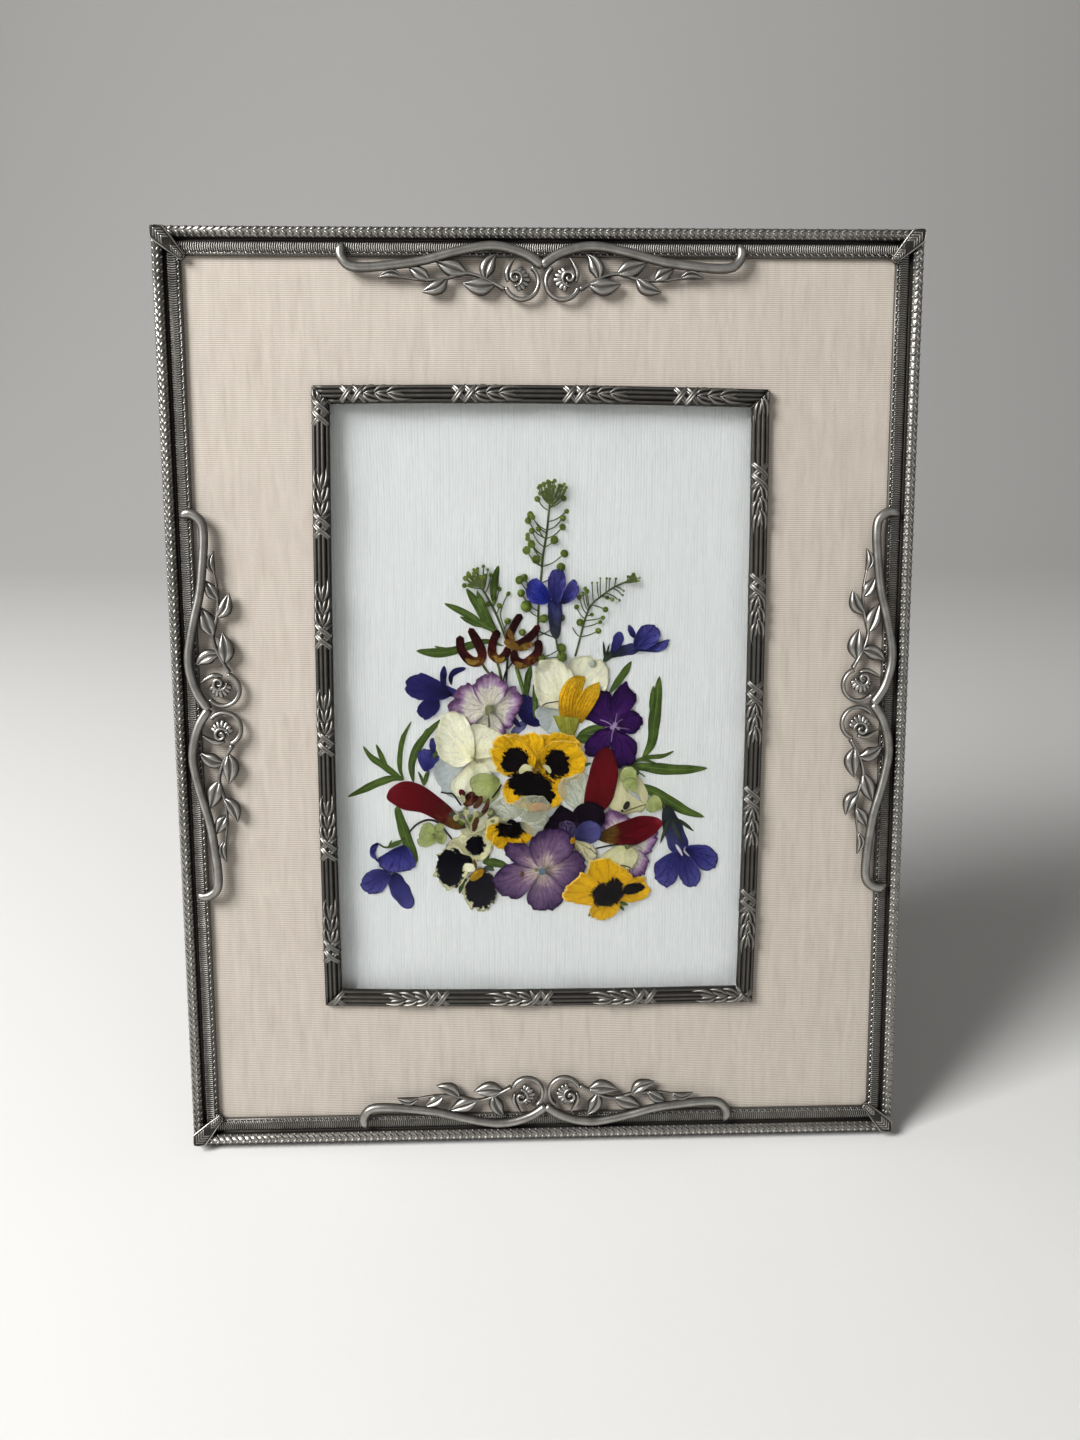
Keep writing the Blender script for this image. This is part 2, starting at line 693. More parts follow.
def rope_unit():
    """One step of the plait on the bead: two slanted strands that meet in an arrow, and a small knot."""
    crest = BEAD[1] + BEAD[2]
    y = BEAD[0]
    pitch = sizes().plait_pitch
    strands = []
    for step, size in ((0.0, 1.0), (1.0, 0.86)):
        x = (step - 0.5) * pitch
        strands += [
            lobe_mesh(2.1 * size, 0.98 * size, 0.55, 33, (x, y - 0.52, crest - 0.3), wear=(0.15, 0.8)),
            lobe_mesh(2.1 * size, 0.98 * size, 0.55, -33, (x, y + 0.52, crest - 0.3), wear=(0.15, 0.8)),
            lobe_mesh(1.5 * size, 0.7 * size, 0.5, 42, (x + 0.1, y - 0.89, crest - 1.0), wear=(0.2, 0.85)),
            lobe_mesh(1.5 * size, 0.7 * size, 0.5, -42, (x + 0.1, y + 1.14, crest - 1.0), wear=(0.2, 0.9)),
        ]
    return joined("rope_unit", strands)


def joined(name, meshes):
    """Several meshes in one."""
    bm = bmesh.new()
    for mesh in meshes:
        bm.from_mesh(mesh)
        bpy.data.meshes.remove(mesh)
    made = bpy.data.meshes.new(name)
    bm.to_mesh(made)
    bm.free()
    return made


def rib_unit():
    """One rib across the band, bowed along the rail."""
    t = np.linspace(0, 1, 7)
    start, stop, height = BAND
    path = np.stack([0.3 * np.sin(t * math.pi), start + 0.02 + (stop - start - 0.04) * t], 1)
    count = len(path)
    strip = blade(path, np.full(count, 0.44), np.full(count, 0.26), height - 0.02, 4, 1, 0, (0.28, 0.58), 0.05)
    return merge("rib_unit", [strip])


def leaf_stroke():
    """One slanted leaf of the line along the inner edge."""
    strokes = [
        lobe_mesh(1.35, 0.46, 0.42, -38, (0.0, LEAF_LINE - 0.08, 8.36), 8, 3, (0.1, 1.2)),
        lobe_mesh(0.9, 0.3, 0.2, 28, (0.8, LEAF_LINE + 0.1, 8.42), 8, 3, (0.1, 0.7)),
    ]
    return joined("leaf_stroke", strokes)


def rail_tree():
    """The dressed rail: a bar with a plait, ribs and leaves in rows, mitred by shortening each row."""
    build = Build("dressed_rail", {
        "Bar": "Object", "Plait": "Object", "Rib": "Object", "Leaf": "Object", "Length": "Float",
        "Plait Pitch": "Float", "Rib Pitch": "Float", "Leaf Pitch": "Float", "Finish": "Material",
    })
    length = build.given["Length"]
    rows = [build.shape("Bar")]
    for label, inset in (("Plait", 5.0), ("Rib", 10.6), ("Leaf", 15.0)):
        rows.append(build.row(label, build.maths("SUBTRACT", length, inset), build.given[label + " Pitch"]))
    together = build.node("GeometryNodeJoinGeometry", None, {0: rows})
    return build, together


# ---------------------------------------------------------------- corner caps
CAP = {"start": 0.9, "end": 12.1, "width": 5.4, "top": (12.05, 9.75)}
# Bars across the cap: their middle along it, their half length, how far their ends trail, and their height.
CAP_BARS = [
    (0.12, 0.7, 0.2, 0.28), (0.2, 0.7, 0.2, 0.32), (0.28, 0.7, 0.2, 0.32), (0.36, 0.7, 0.18, 0.3),
    (0.66, 0.66, 0.14, 0.26), (0.73, 0.66, 0.14, 0.3), (0.8, 0.66, 0.12, 0.3), (0.87, 0.66, 0.1, 0.28),
    (0.94, 0.6, 0.06, 0.2),
]
CAP_EYE = (0.52, 0.11, 0.62)  # a smooth hollow with a raised edge: its middle, its half length and its half width


def cap_outline(t):
    """Half width along the cap: a square corner at its outer end that narrows to a blunt inner tip."""
    nose = min(1.0, t / 0.2) ** 0.85
    return CAP["width"] / 2 * nose * (1 - 0.68 * max(0.0, (t - 0.16) / 0.84) ** 1.3)


def cap_ridges(t, s):
    """A raised rim, two groups of short bars and an oval eye between them."""
    rim = math.exp(-(((abs(s) - 0.86) / 0.1) ** 2)) * 0.32
    bars = 0.0
    for middle, reach, trail, height in CAP_BARS:
        off = (t - middle - trail * abs(s)) / 0.024
        if abs(s) < reach:
            bars = max(bars, height * math.exp(-off * off) * (1 - (abs(s) / reach) ** 6))
    eye = math.hypot((t - CAP_EYE[0]) / CAP_EYE[1], s / CAP_EYE[2])
    return max(rim, bars, 0.07 * math.exp(-(((eye - 1) / 0.2) ** 2)))


def cap_mesh():
    stations, across = 110, 28
    verts, wear = [], []
    for k in range(stations + 1):
        t = 0.5 * k / stations + 0.25 - 0.25 * math.cos(math.pi * k / stations)
        along = CAP["start"] + (CAP["end"] - CAP["start"]) * t
        half = cap_outline(t) if k < stations else 0.12
        top = CAP["top"][0] + (CAP["top"][1] - CAP["top"][0]) * t
        for j in range(across + 1):
            s = 2 * j / across - 1
            ridge = cap_ridges(t, s)
            fall = 0.55 * s * s + 0.9 * max(0.0, abs(s) - 0.92) / 0.08 + 0.5 * max(0.0, 0.06 - t) / 0.06
            verts.append((along, s * half, top - fall - 0.32 + ridge))
            wear.append(0.04 + 2.6 * ridge)
    row = across + 1
    faces = [(a, d, c, b) for a, b, c, d in grid_quads(stations + 1, row)]
    edge = [k * row for k in range(stations + 1)] + [stations * row + j for j in range(1, row)]
    edge += [k * row + across for k in range(stations - 1, -1, -1)] + [j for j in range(across - 1, 0, -1)]
    foot = len(verts)
    for i in edge:
        x, y, _ = verts[i]
        t = (x - CAP["start"]) / (CAP["end"] - CAP["start"])
        verts.append((x, y, 8.9 - 0.4 * t))
        wear.append(0.1)
    for n in range(len(edge)):
        m = (n + 1) % len(edge)
        faces.append((edge[n], edge[m], foot + m, foot + n))
    faces.append(tuple(foot + n for n in range(len(edge))))
    return weld(new_mesh("cap", verts, faces, wear), 1e-4)


# The way to each corner from the middle, and the cap's turn there in degrees.
CORNERS = {
    "bottom_left": (-1, -1, 45), "bottom_right": (1, -1, 135), "top_right": (1, 1, 225), "top_left": (-1, 1, 315),
}


# ---------------------------------------------------------------- ornaments
# Drawn in side space to the right of the middle: along the side, and inwards from the outer edge.
ROD = [
    (0, 10.4), (4.2, 7.6), (9.2, 5.9), (14.2, 5.3), (19.2, 5.9), (26, 7.4), (33.2, 9.3),
    (41, 10.4), (49.2, 11.1), (53.6, 10.6), (55.7, 8.4), (56, 6.6), (55.2, 4.6),
]
RING = {"centre": (5.7, 14.6), "radius": 4.7, "arc": (232, 22)}
ROSE = (7.5, 13.7)
VINE = [(10.6, 16.6), (13.7, 14.9), (18.2, 12.9), (22, 12.4), (27, 13.8), (33.2, 14.2), (40, 13.3)]
# Leaves of the vine: spine points, then width.
VINE_LEAVES = [
    ([(15.9, 13.8), (15.6, 11.5), (14.4, 9.0), (12.7, 7.2)], 3.3),
    ([(13.4, 15.5), (16.5, 15.9), (19.2, 15.7), (22.2, 15.2)], 3.7),
    ([(21.2, 12.4), (24.0, 11.3), (26.8, 10.4), (29.6, 9.4)], 3.7),
    ([(26.6, 13.8), (28.8, 15.9), (31.2, 16.8), (33.6, 17.4)], 3.0),
    ([(31.7, 14.1), (33.4, 12.9), (35.2, 11.9), (37.2, 11.0)], 3.0),
    ([(39.2, 13.4), (41.4, 12.5), (43.4, 12.7), (45.6, 13.6)], 1.9),
]
SEPAL = [(9.5, 14.6), (9.9, 12.4), (9.0, 10.2), (7.6, 8.2)]


def rod_piece():
    path = smooth_path(ROD, 64)
    t = np.linspace(0, 1, len(path))
    radius = 1.42 - 0.14 * np.sin(t * math.pi)
    radius = radius * np.sqrt(np.clip((1.004 - t) / 0.035, 0.02, 1))
    radius[0] *= 0.9
    lift = 1.0 + 0.28 * np.sin(np.clip((t - 0.05) / 0.9, 0, 1) * math.pi) - 0.15 * np.clip((t - 0.85) / 0.15, 0, 1)
    side = sideways(path)
    rings, wear = [], []
    for at, left, r, up in zip(path, side, radius, lift):
        ring = []
        for i in range(14):
            a = 2 * math.pi * i / 14
            x, y = at + left * r * math.cos(a)
            ring.append((x, y, max(0.05, up + r * math.sin(a) * 0.95) + ORNAMENT_BASE))
            wear.append(0.2 + 0.48 * max(0.0, math.sin(a)))
        rings.append(ring)
    verts, faces = tube_rings(rings)
    return verts, faces, wear


def ring_piece():
    (x, y), radius = RING["centre"], RING["radius"]
    start, stop = (math.radians(a) for a in RING["arc"])
    path = np.array([(x + radius * math.cos(a), y + radius * math.sin(a)) for a in np.linspace(start, stop, 44)])
    width = taper(44, 1.3, 1.3, 1.5, 0.5)
    height = taper(44, 1.5, 1.25, 1.4, 0.5)
    return blade(path, width, height, ORNAMENT_BASE, 8, 1, 0, (0.1, 0.72))


def leaf_piece(spine, width):
    """A cast leaf: two swelling halves parted by a groove, with a raised rim."""
    height = taper(16, 0.9, 1.75, 0.8, 0.4)
    return blade(smooth_path(spine, 16), taper(16, 0.9, width * 1.34, 0.15, 0.42), height, ORNAMENT_BASE, 14, 0.8, 0.5)


def rose_pieces():
    """A snail of metal with a fan of ribs behind it."""
    x, y = ROSE
    turns = np.linspace(0, 1, 40)
    angle = 2.6 + turns * 2 * math.pi * 1.35
    radius = 0.4 + 1.8 * turns
    path = np.stack([x + radius * np.cos(angle), y - radius * np.sin(angle), 0.9 - 0.7 * turns], 1)
    width, height = taper(40, 0.6, 1.15, 0.6, 0.6), taper(40, 0.6, 1.3, 0.8, 0.5)
    pieces = [blade(path, width, height, ORNAMENT_BASE + 0.35, 8, 1, 0, (0.05, 0.8), 0.4)]
    for k in range(7):
        a = math.radians(112 + 21 * k)
        reach = 4.3 - 0.25 * abs(k - 3)
        spine = [(x + r * math.cos(a), y + r * math.sin(a)) for r in (1.2, 2.4, 3.4, reach)]
        width, height = taper(9, 0.7, 1.45, 0.9, 0.8), taper(9, 1.0, 0.95, 0.45, 0.3)
        pieces.append(blade(smooth_path(spine, 9), width, height, ORNAMENT_BASE, 6, 0.8, 0, (0.0, 0.7)))
    width, height = taper(14, 0.9, 1.5, 0.2, 0.4), taper(14, 1.2, 1.7, 1.1, 0.4)
    return pieces + [blade(smooth_path(SEPAL, 14), width, height, ORNAMENT_BASE, 8, 0.9)]


def vine_piece():
    width, height = taper(46, 1.5, 1.15, 0.6, 0.1), taper(46, 1.5, 1.1, 0.7, 0.1)
    return blade(smooth_path(VINE, 46), width, height, ORNAMENT_BASE, 6, 1, 0, (0.1, 0.65))


def ornament_mesh():
    pieces = [rod_piece(), ring_piece(), vine_piece()] + rose_pieces()
    pieces += [leaf_piece(spine, width) for spine, width in VINE_LEAVES]
    mesh = merge("ornament", pieces, 1e-4)
    with edited(mesh) as bm:
        twin = bmesh.ops.duplicate(bm, geom=bm.verts[:] + bm.edges[:] + bm.faces[:])["geom"]
        mirrored = [g for g in twin if isinstance(g, bmesh.types.BMVert)]
        bmesh.ops.scale(bm, vec=(-1, 1, 1), verts=mirrored)
        bmesh.ops.recalc_face_normals(bm, faces=bm.faces)
    return mesh


# ---------------------------------------------------------------- rails of the small frame
REEDS = 4
CLUSTER_PITCH, CLUSTER_LENGTH = 31.6, 20.5
CLUSTER_START = {"bottom": -27.6, "right": -24.0, "top": -37.5, "left": 14.7}


def reed_section():
    """Reeds side by side, higher towards the middle, on a flat foot."""
    points = [(0, WINDOW_BASE)]
    pitch = WINDOW_RAIL / REEDS
    for k in range(REEDS):
        height = (1.35, 1.9, 1.95, 1.25)[k]
        for i in range(8):
            a = math.pi * (i + 0.35) / 7.7
            rise = 0.22 + height - 0.55 + 0.6 * math.sin(a)
            points.append((pitch * (k + 0.5 - 0.5 * math.cos(a)), WINDOW_BASE + rise))
    points.append((WINDOW_RAIL, WINDOW_BASE))
    return points


def reed_wear(inwards, height):
    place = inwards / (WINDOW_RAIL / REEDS) % 1
    return 0.4 * math.sin(math.pi * place) ** 1.5 if height > WINDOW_BASE + 0.05 else 0.2


def cluster_mesh():
    """A swelling tied by a crossed ribbon, with leaves that point along the rail towards -X."""
    middle, base = WINDOW_RAIL / 2, WINDOW_BASE

    def strip(points, width, height, over, groove=0.0):
        path = smooth_path([(-x, middle + y, z) for x, y, z in points], 14)
        return blade(path, taper(14, *width), taper(14, *height), base + over, 10, 0.9, groove, (0.0, 0.62), over)

    swell = smooth_path([(0.6, middle, 0), (-CLUSTER_LENGTH * 0.86, middle, 0)], 24)
    pieces = [blade(swell, taper(24, 4.6, 5.0, 2.6, 0.4), taper(24, 1.5, 2.0, 1.2, 0.35), base, 10, 0.8, 0, (0, 0.12))]
    for start in (0.2, 3.4):
        for way, over in ((-1, 0.5), (1, 0.75)):
            bends = ((0, 2.2, 0.3), (1.3, 0.9, 1.1), (2.6, -0.8, 1.1), (4.0, -2.2, 0.2))
            band = [(start + x, way * y, z) for x, y, z in bends]
            pieces.append(strip(band, (1.6, 1.9, 1.5, 0.5), (0.7, 0.85, 0.7, 0.5), over, 0.35))
    leaves = [
        (6.4, 0.0, 11.6, -1.75), (6.6, 0.0, 11.9, 1.8), (9.7, 0.0, 15.4, -1.65), (10.1, 0.1, 15.9, 1.7),
        (13.2, 0.0, 20.0, -1.55), (13.8, 0.1, 20.6, 1.35),
    ]
    for x0, y0, x1, y1 in leaves:
        bend = [(x0, y0, 1.0), (x0 + 0.35 * (x1 - x0), y0 + 0.62 * (y1 - y0), 1.0), (x1, y1, 0.35)]
        pieces.append(strip(bend, (0.9, 2.8, 0.2, 0.45), (0.8, 1.3, 0.5, 0.4), 0.5, 0.8))
    return merge("cluster", pieces, 1e-4)


def window_tree():
    """The small frame's rail: a reeded bar with clusters in a row, bowed a little outwards."""
    build = Build("reeded_rail", {
        "Bar": "Object", "Cluster": "Object", "Length": "Float", "First": "Float", "Pitch": "Float",
        "Count": "Int", "Bow": "Float", "Finish": "Material",
    })
    clusters = build.copies("Cluster", build.given["Count"], build.given["First"], build.given["Pitch"])
    together = build.node("GeometryNodeJoinGeometry", None, {0: [build.shape("Bar"), clusters]})
    real = build.node("GeometryNodeRealizeInstances", None, {0: together})
    x = build.node("ShaderNodeSeparateXYZ", None, {0: build.node("GeometryNodeInputPosition")})
    share = build.maths("DIVIDE", build.maths("MULTIPLY", x, 2.0), build.given["Length"])
    fall = build.maths("SUBTRACT", 1.0, build.maths("MULTIPLY", share, share))
    out = build.maths("MULTIPLY", build.maths("MULTIPLY", fall, build.given["Bow"]), -1.0)
    offset = build.node("ShaderNodeCombineXYZ", None, {1: out})
    return build, build.node("GeometryNodeSetPosition", None, {"Geometry": real, "Offset": offset})


def trim_mitres(mesh, length):
    """Cuts both ends of a side at 45 degrees and closes the cuts."""
    with edited(mesh) as bm:
        for way in (-1, 1):
            plane = {"plane_co": (way * (length / 2 - SEAM), 0, 0), "plane_no": (way, 1, 0), "clear_outer": True}
            cut = bmesh.ops.bisect_plane(bm, geom=bm.verts[:] + bm.edges[:] + bm.faces[:], dist=1e-5, **plane)
            edges = [g for g in cut["geom_cut"] if isinstance(g, bmesh.types.BMEdge) and g.is_boundary]
            bmesh.ops.holes_fill(bm, edges=edges)
    mesh.update()
    return mesh


# ---------------------------------------------------------------- hinge rivets
RIVETS = {"span": 27.0, "pitch": 9.0, "from_pin": 7.6, "depth": -2.4}


def rivet_mesh():
    """A low domed head with a small dimple."""
    rings = []
    for radius, height in ((1.0, 0.0), (1.0, 0.12), (0.86, 0.34), (0.56, 0.47), (0.22, 0.5), (0.1, 0.44)):
        angles = np.linspace(0, 2 * math.pi, 16, endpoint=False)
        rings.append([(radius * math.cos(a), radius * math.sin(a), height) for a in angles])
    verts, faces = tube_rings(rings)
    return weld(new_mesh("rivet", verts, faces, [0.5] * len(verts)), 1e-4)


def rivet_row(name, matrix, body):
    """Rivets in a row across a hinge leaf."""
    build = Build(name + "_tree", {"Rivet": "Object", "Length": "Float", "Pitch": "Float", "Finish": "Material"})
    row = build.row("Rivet", build.given["Length"], build.given["Pitch"])
    with Pattern(Rivet=rivet_mesh()) as shapes:
        values = {
            "Rivet": shapes["Rivet"], "Length": RIVETS["span"], "Pitch": RIVETS["pitch"], "Finish": steel(),
        }
        mesh = build.bake(name, row, values, build.given["Finish"])
    settle(add_object(name, mesh), matrix, None, body, ())


# ---------------------------------------------------------------- operators
class BuildPiece(bpy.types.Operator):
    """Builds one group of the frame's pieces"""

    bl_options = {"REGISTER", "UNDO"}

    def execute(self, context):
        self.build()
        return {"FINISHED"}


class PRESSED_OT_outer_rails(BuildPiece):
    """Cast outer rails: a plaited bead, a ribbed band and a line of small leaves"""

    bl_idname = "pressed.outer_rails"
    bl_label = "Outer rails"

    def build(self):
        size = sizes()
        for side in SIDES:
            rail = side_length(side, (WIDTH, HEIGHT))
            name = "outer_rail_" + side
            tree, together = rail_tree()
            shapes = {"Bar": bar_mesh(rail), "Plait": rope_unit(), "Rib": rib_unit(), "Leaf": leaf_stroke()}
            with Pattern(**shapes) as objects:
                values = {
                    **objects, "Length": rail, "Plait Pitch": 2 * size.plait_pitch, "Rib Pitch": size.rib_step,
                    "Leaf Pitch": size.leaf_pitch, "Finish": pewter(),
                }
                mesh = tree.bake("dressed_" + side, together, values, tree.given["Finish"])
            settle(add_object("dressed_" + name, mesh), outer_side(side), None, "frame", (name,))


class PRESSED_OT_corner_caps(BuildPiece):
    """Leaf-shaped caps over the mitres of the outer rails"""

    bl_idname = "pressed.corner_caps"
    bl_label = "Corner caps"

    def build(self):
        for corner, (x, y, turn) in CORNERS.items():
            place = Matrix.Translation((x * WIDTH / 2, HEIGHT / 2 + y * HEIGHT / 2, 0))
            matrix = FACE @ place @ Matrix.Rotation(math.radians(turn), 4, "Z")
            piece = add_object("cap_" + corner, cap_mesh())
            settle(piece, matrix, pewter(), "frame", ("corner_cap_" + corner,))


class PRESSED_OT_ornaments(BuildPiece):
    """Open scrolls with vine leaves and two roses on the middle of each side"""

    bl_idname = "pressed.ornaments"
    bl_label = "Scroll ornaments"

    def build(self):
        for side in SIDES:
            piece = add_object("scroll_" + side, ornament_mesh())
            settle(piece, outer_side(side), pewter(), "frame", ("ornament_" + side,))


class PRESSED_OT_window_rails(BuildPiece):
    """Reeded rails of the small frame, tied with ribbons and leaves"""

    bl_idname = "pressed.window_rails"
    bl_label = "Window rails"

    def build(self):
        for side in SIDES:
            rail = side_length(side, WINDOW_OUTER)
            first = CLUSTER_START[side]
            while first - CLUSTER_PITCH > -rail / 2:
                first -= CLUSTER_PITCH
            count = math.ceil((rail / 2 + CLUSTER_LENGTH - first) / CLUSTER_PITCH)
            stations = np.linspace(-rail / 2, rail / 2, 41)
            bar = merge("reeds", [bar_piece(rail, reed_section(), stations, reed_wear)], 1e-5)
            tree, together = window_tree()
            with Pattern(Bar=bar, Cluster=cluster_mesh()) as objects:
                values = {
                    **objects, "Length": rail, "First": first, "Pitch": CLUSTER_PITCH, "Count": count,
                    "Bow": sizes().bow, "Finish": pewter(),
                }
                mesh = tree.bake("reeded_" + side, together, values, tree.given["Finish"])
            piece = add_object("reeded_rail_" + side, trim_mitres(mesh, rail))
            settle(piece, WINDOW @ side_matrix(side, WINDOW_OUTER), None, "frame", ("window_rail_" + side,))


class PRESSED_OT_boards_and_glass(BuildPiece):
    """Fabric, boards, laid card, glass, strut and hinge finishes, and the hinge's rivets"""

    bl_idname = "pressed.boards_and_glass"
    bl_label = "Boards and glass"

    def build(self):
        finishes = {
            "mat_cover": moire(), "mat_board": board_edge(), "card": laid_card(), "back_board": velvet(),
            "strut": velvet(), "pane": window_glass(), "hinge_leaf_frame": steel(), "hinge_leaf_strut": steel(),
        }
        for name, material in finishes.items():
            materials = frame["nodes"][name].data.materials
            materials.clear()
            materials.append(material)
        flipped = Matrix.Rotation(math.pi, 4, "X")
        away, depth = RIVETS["from_pin"], RIVETS["depth"]
        on_frame = FACE @ Matrix.Translation((0, HINGE_HEIGHT + away, depth)) @ flipped
        on_strut = STRUT @ Matrix.Translation((0, -away, depth)) @ flipped
        rivet_row("hinge_rivets_frame", on_frame, "frame")
        rivet_row("hinge_rivets_strut", on_strut, "strut")


AIR = 0.18
SWEEP = {"front": -9.0, "bend": 0.9, "top": 9.0, "side": 20.0}  # the floor in metres, bent up behind the frame
# Name, place, the point it is aimed at, its size in metres and its power in watts.
LAMPS = [
    ("window_light", (-0.95, -0.55, 0.95), (0, 0, 0.12), (0.55, 0.7), 33.0),
    ("fill_light", (0.8, -1.2, 0.7), (0, 0, 0.12), (1.2, 1.4), 1.8),
]
# In face space: where it stands, where it looks, and its up.
CAMERA = ((-10.56, 167.82, 313.75), (0.0305, -0.1224, -0.9920), (0.0088, 0.9925, -0.1222))
LENS = 26.05


def look_from(place, aim):
    """A lamp's matrix: at place, shining towards aim."""
    way = (Vector(aim) - Vector(place)).to_track_quat("-Z", "Y")
    return Matrix.Translation(place) @ way.to_matrix().to_4x4()


class PRESSED_OT_stage(BuildPiece):
    """Pale floor, soft light and the camera"""

    bl_idname = "pressed.stage"
    bl_label = "Stage"

    def build(self):
        paper = Paint("studio_paper", Roughness=0.9).done(Base_Color=(0.66, 0.655, 0.64))
        bend = SWEEP["bend"]
        profile = [(SWEEP["front"], 0.0), (bend, 0.0)]
        profile += [(bend + bend * math.sin(a), bend - bend * math.cos(a)) for a in np.linspace(0.1, math.pi / 2, 14)]
        profile += [(2 * bend, SWEEP["top"])]
        verts = [(x, y, z) for y, z in profile for x in (-SWEEP["side"], SWEEP["side"])]
        faces = [(2 * k, 2 * k + 1, 2 * k + 3, 2 * k + 2) for k in range(len(profile) - 1)]
        floor = add_object("paper_sweep", new_mesh("paper_sweep", verts, faces))
        floor.data.materials.append(paper)
        for name, place, aim, size, power in LAMPS:
            lamp = bpy.data.lights.new(name, "AREA")
            lamp.shape, lamp.size, lamp.size_y, lamp.energy = "RECTANGLE", size[0], size[1], power
            add_object(name, lamp).matrix_world = look_from(place, aim)
        world = bpy.data.worlds.new("studio_air")
        world.use_nodes = True
        air = world.node_tree.nodes["Background"]
        air.inputs["Color"].default_value = (1.0, 0.99, 0.97, 1.0)
        air.inputs["Strength"].default_value = AIR
        bpy.context.scene.world = world
        bpy.context.scene.view_settings.view_transform = "Standard"
        lens = bpy.data.cameras.new("camera")
        lens.lens, lens.sensor_width, lens.clip_start = LENS, 36.0, 0.01
        camera = add_object("camera", lens)
        eye, forward, up = (Vector(v) for v in CAMERA)
        back = -forward.normalized()
        right = up.cross(back).normalized()
        turn = Matrix((right, back.cross(right), back)).transposed().to_4x4()
        spin = FACE.to_quaternion().to_matrix().to_4x4()
        camera.matrix_world = Matrix.Translation(FACE @ eye) @ spin @ turn
        bpy.context.scene.camera = camera


# ---------------------------------------------------------------- flowers
# All flowers are drawn in window space, from the middle of the window. A plan lists a flower's parts from the bottom
# up, parted by semicolons: a kind, its finish unless that is the last one again, its sizes, then rows of points x,y.
# All are in millimetres. One row is one part, but a panel has two and a spray has two or three.
#   leaf: width, then where it is widest and how blunt it is: its spine
#   stem: radius: its spine
#   petal: spread in degrees, then squareness: its base and tip
#   shape: a petal's base, then its own rim
#   panel: its left edge | its right edge
#   pod: radius, then stretch and turn: a bead at each x,y
#   spray: the pods' finish, stem radius, then lag: its spine | pods as x,y,size | centre half size,count,seed
#   buds: scattered beads as centre half size,count,seed
def read_numbers(words):
    return [float(word) for word in words]


def read_parts(plan):
    """The parts of a flower: the kind, the finish and what the maker of that kind is given."""
    parts = []
    for part in plan.split(";"):
        front, back = part.split(":")
        kind, *words = front.split()
        if words and words[0][0].isalpha():
            finish_name = words.pop(0)
        rows = [[read_numbers(point.split(",")) for point in row.split()] for row in back.split("|")]
        if kind == "spray":
            parts += spray(finish_name, words[0], read_numbers(words[1:]), *rows)
        elif kind == "buds":
            parts += [("pod", finish_name, bud) for bud in scatter(*rows[0])]
        elif kind == "pod":
            parts += [("pod", finish_name, (*point, *read_numbers(words))) for point in rows[0]]
        else:
            shares = [rows] if kind == "panel" else [[row] for row in rows]
            parts += [(kind, finish_name, (*share, *read_numbers(words))) for share in shares]
    return parts


def spray(finish_name, pod_finish, given, spine, pods, head=None):
    """A stem with pods on curved stalks that leave it a little lower down."""
    radius, lag = (*given, 0.75)[:2]
    path = smooth_path(spine, 60)
    parts = [("stem", finish_name, (spine, radius))]
    for x, y, size in pods + (scatter(*head) if head else []):
        reach = np.linalg.norm(path - (x, y), axis=1)
        nearest = int(np.argmin(reach))
        lower = int(1 + lag * reach[nearest] / (0.001 + np.linalg.norm(path[-1] - path[0])) * 60)
        joint = path[max(0, nearest - lower)]
        middle = (joint[0] + (x - joint[0]) * 0.5, joint[1] + (y - joint[1]) * 0.32)
        parts.append(("stem", finish_name, ([tuple(joint), middle, (x, y)], 0.17)))
        parts.append(("pod", pod_finish, (x, y, size, 1.06, 20 * x)))
    return parts


def scatter(centre, half, told):
    """Small buds scattered in an oval, closest together at its middle. told is their size, count and seed."""
    size, count, seed = told[0], int(told[1]), int(told[2])
    dice = np.random.default_rng(seed)
    angle, reach = dice.uniform(0, 2 * math.pi, count), np.sqrt(dice.uniform(0, 1, count))
    return [
        (centre[0] + half[0] * r * math.cos(a), centre[1] + half[1] * r * math.sin(a), size * dice.uniform(0.7, 1.3))
        for a, r in zip(angle, reach)
    ]


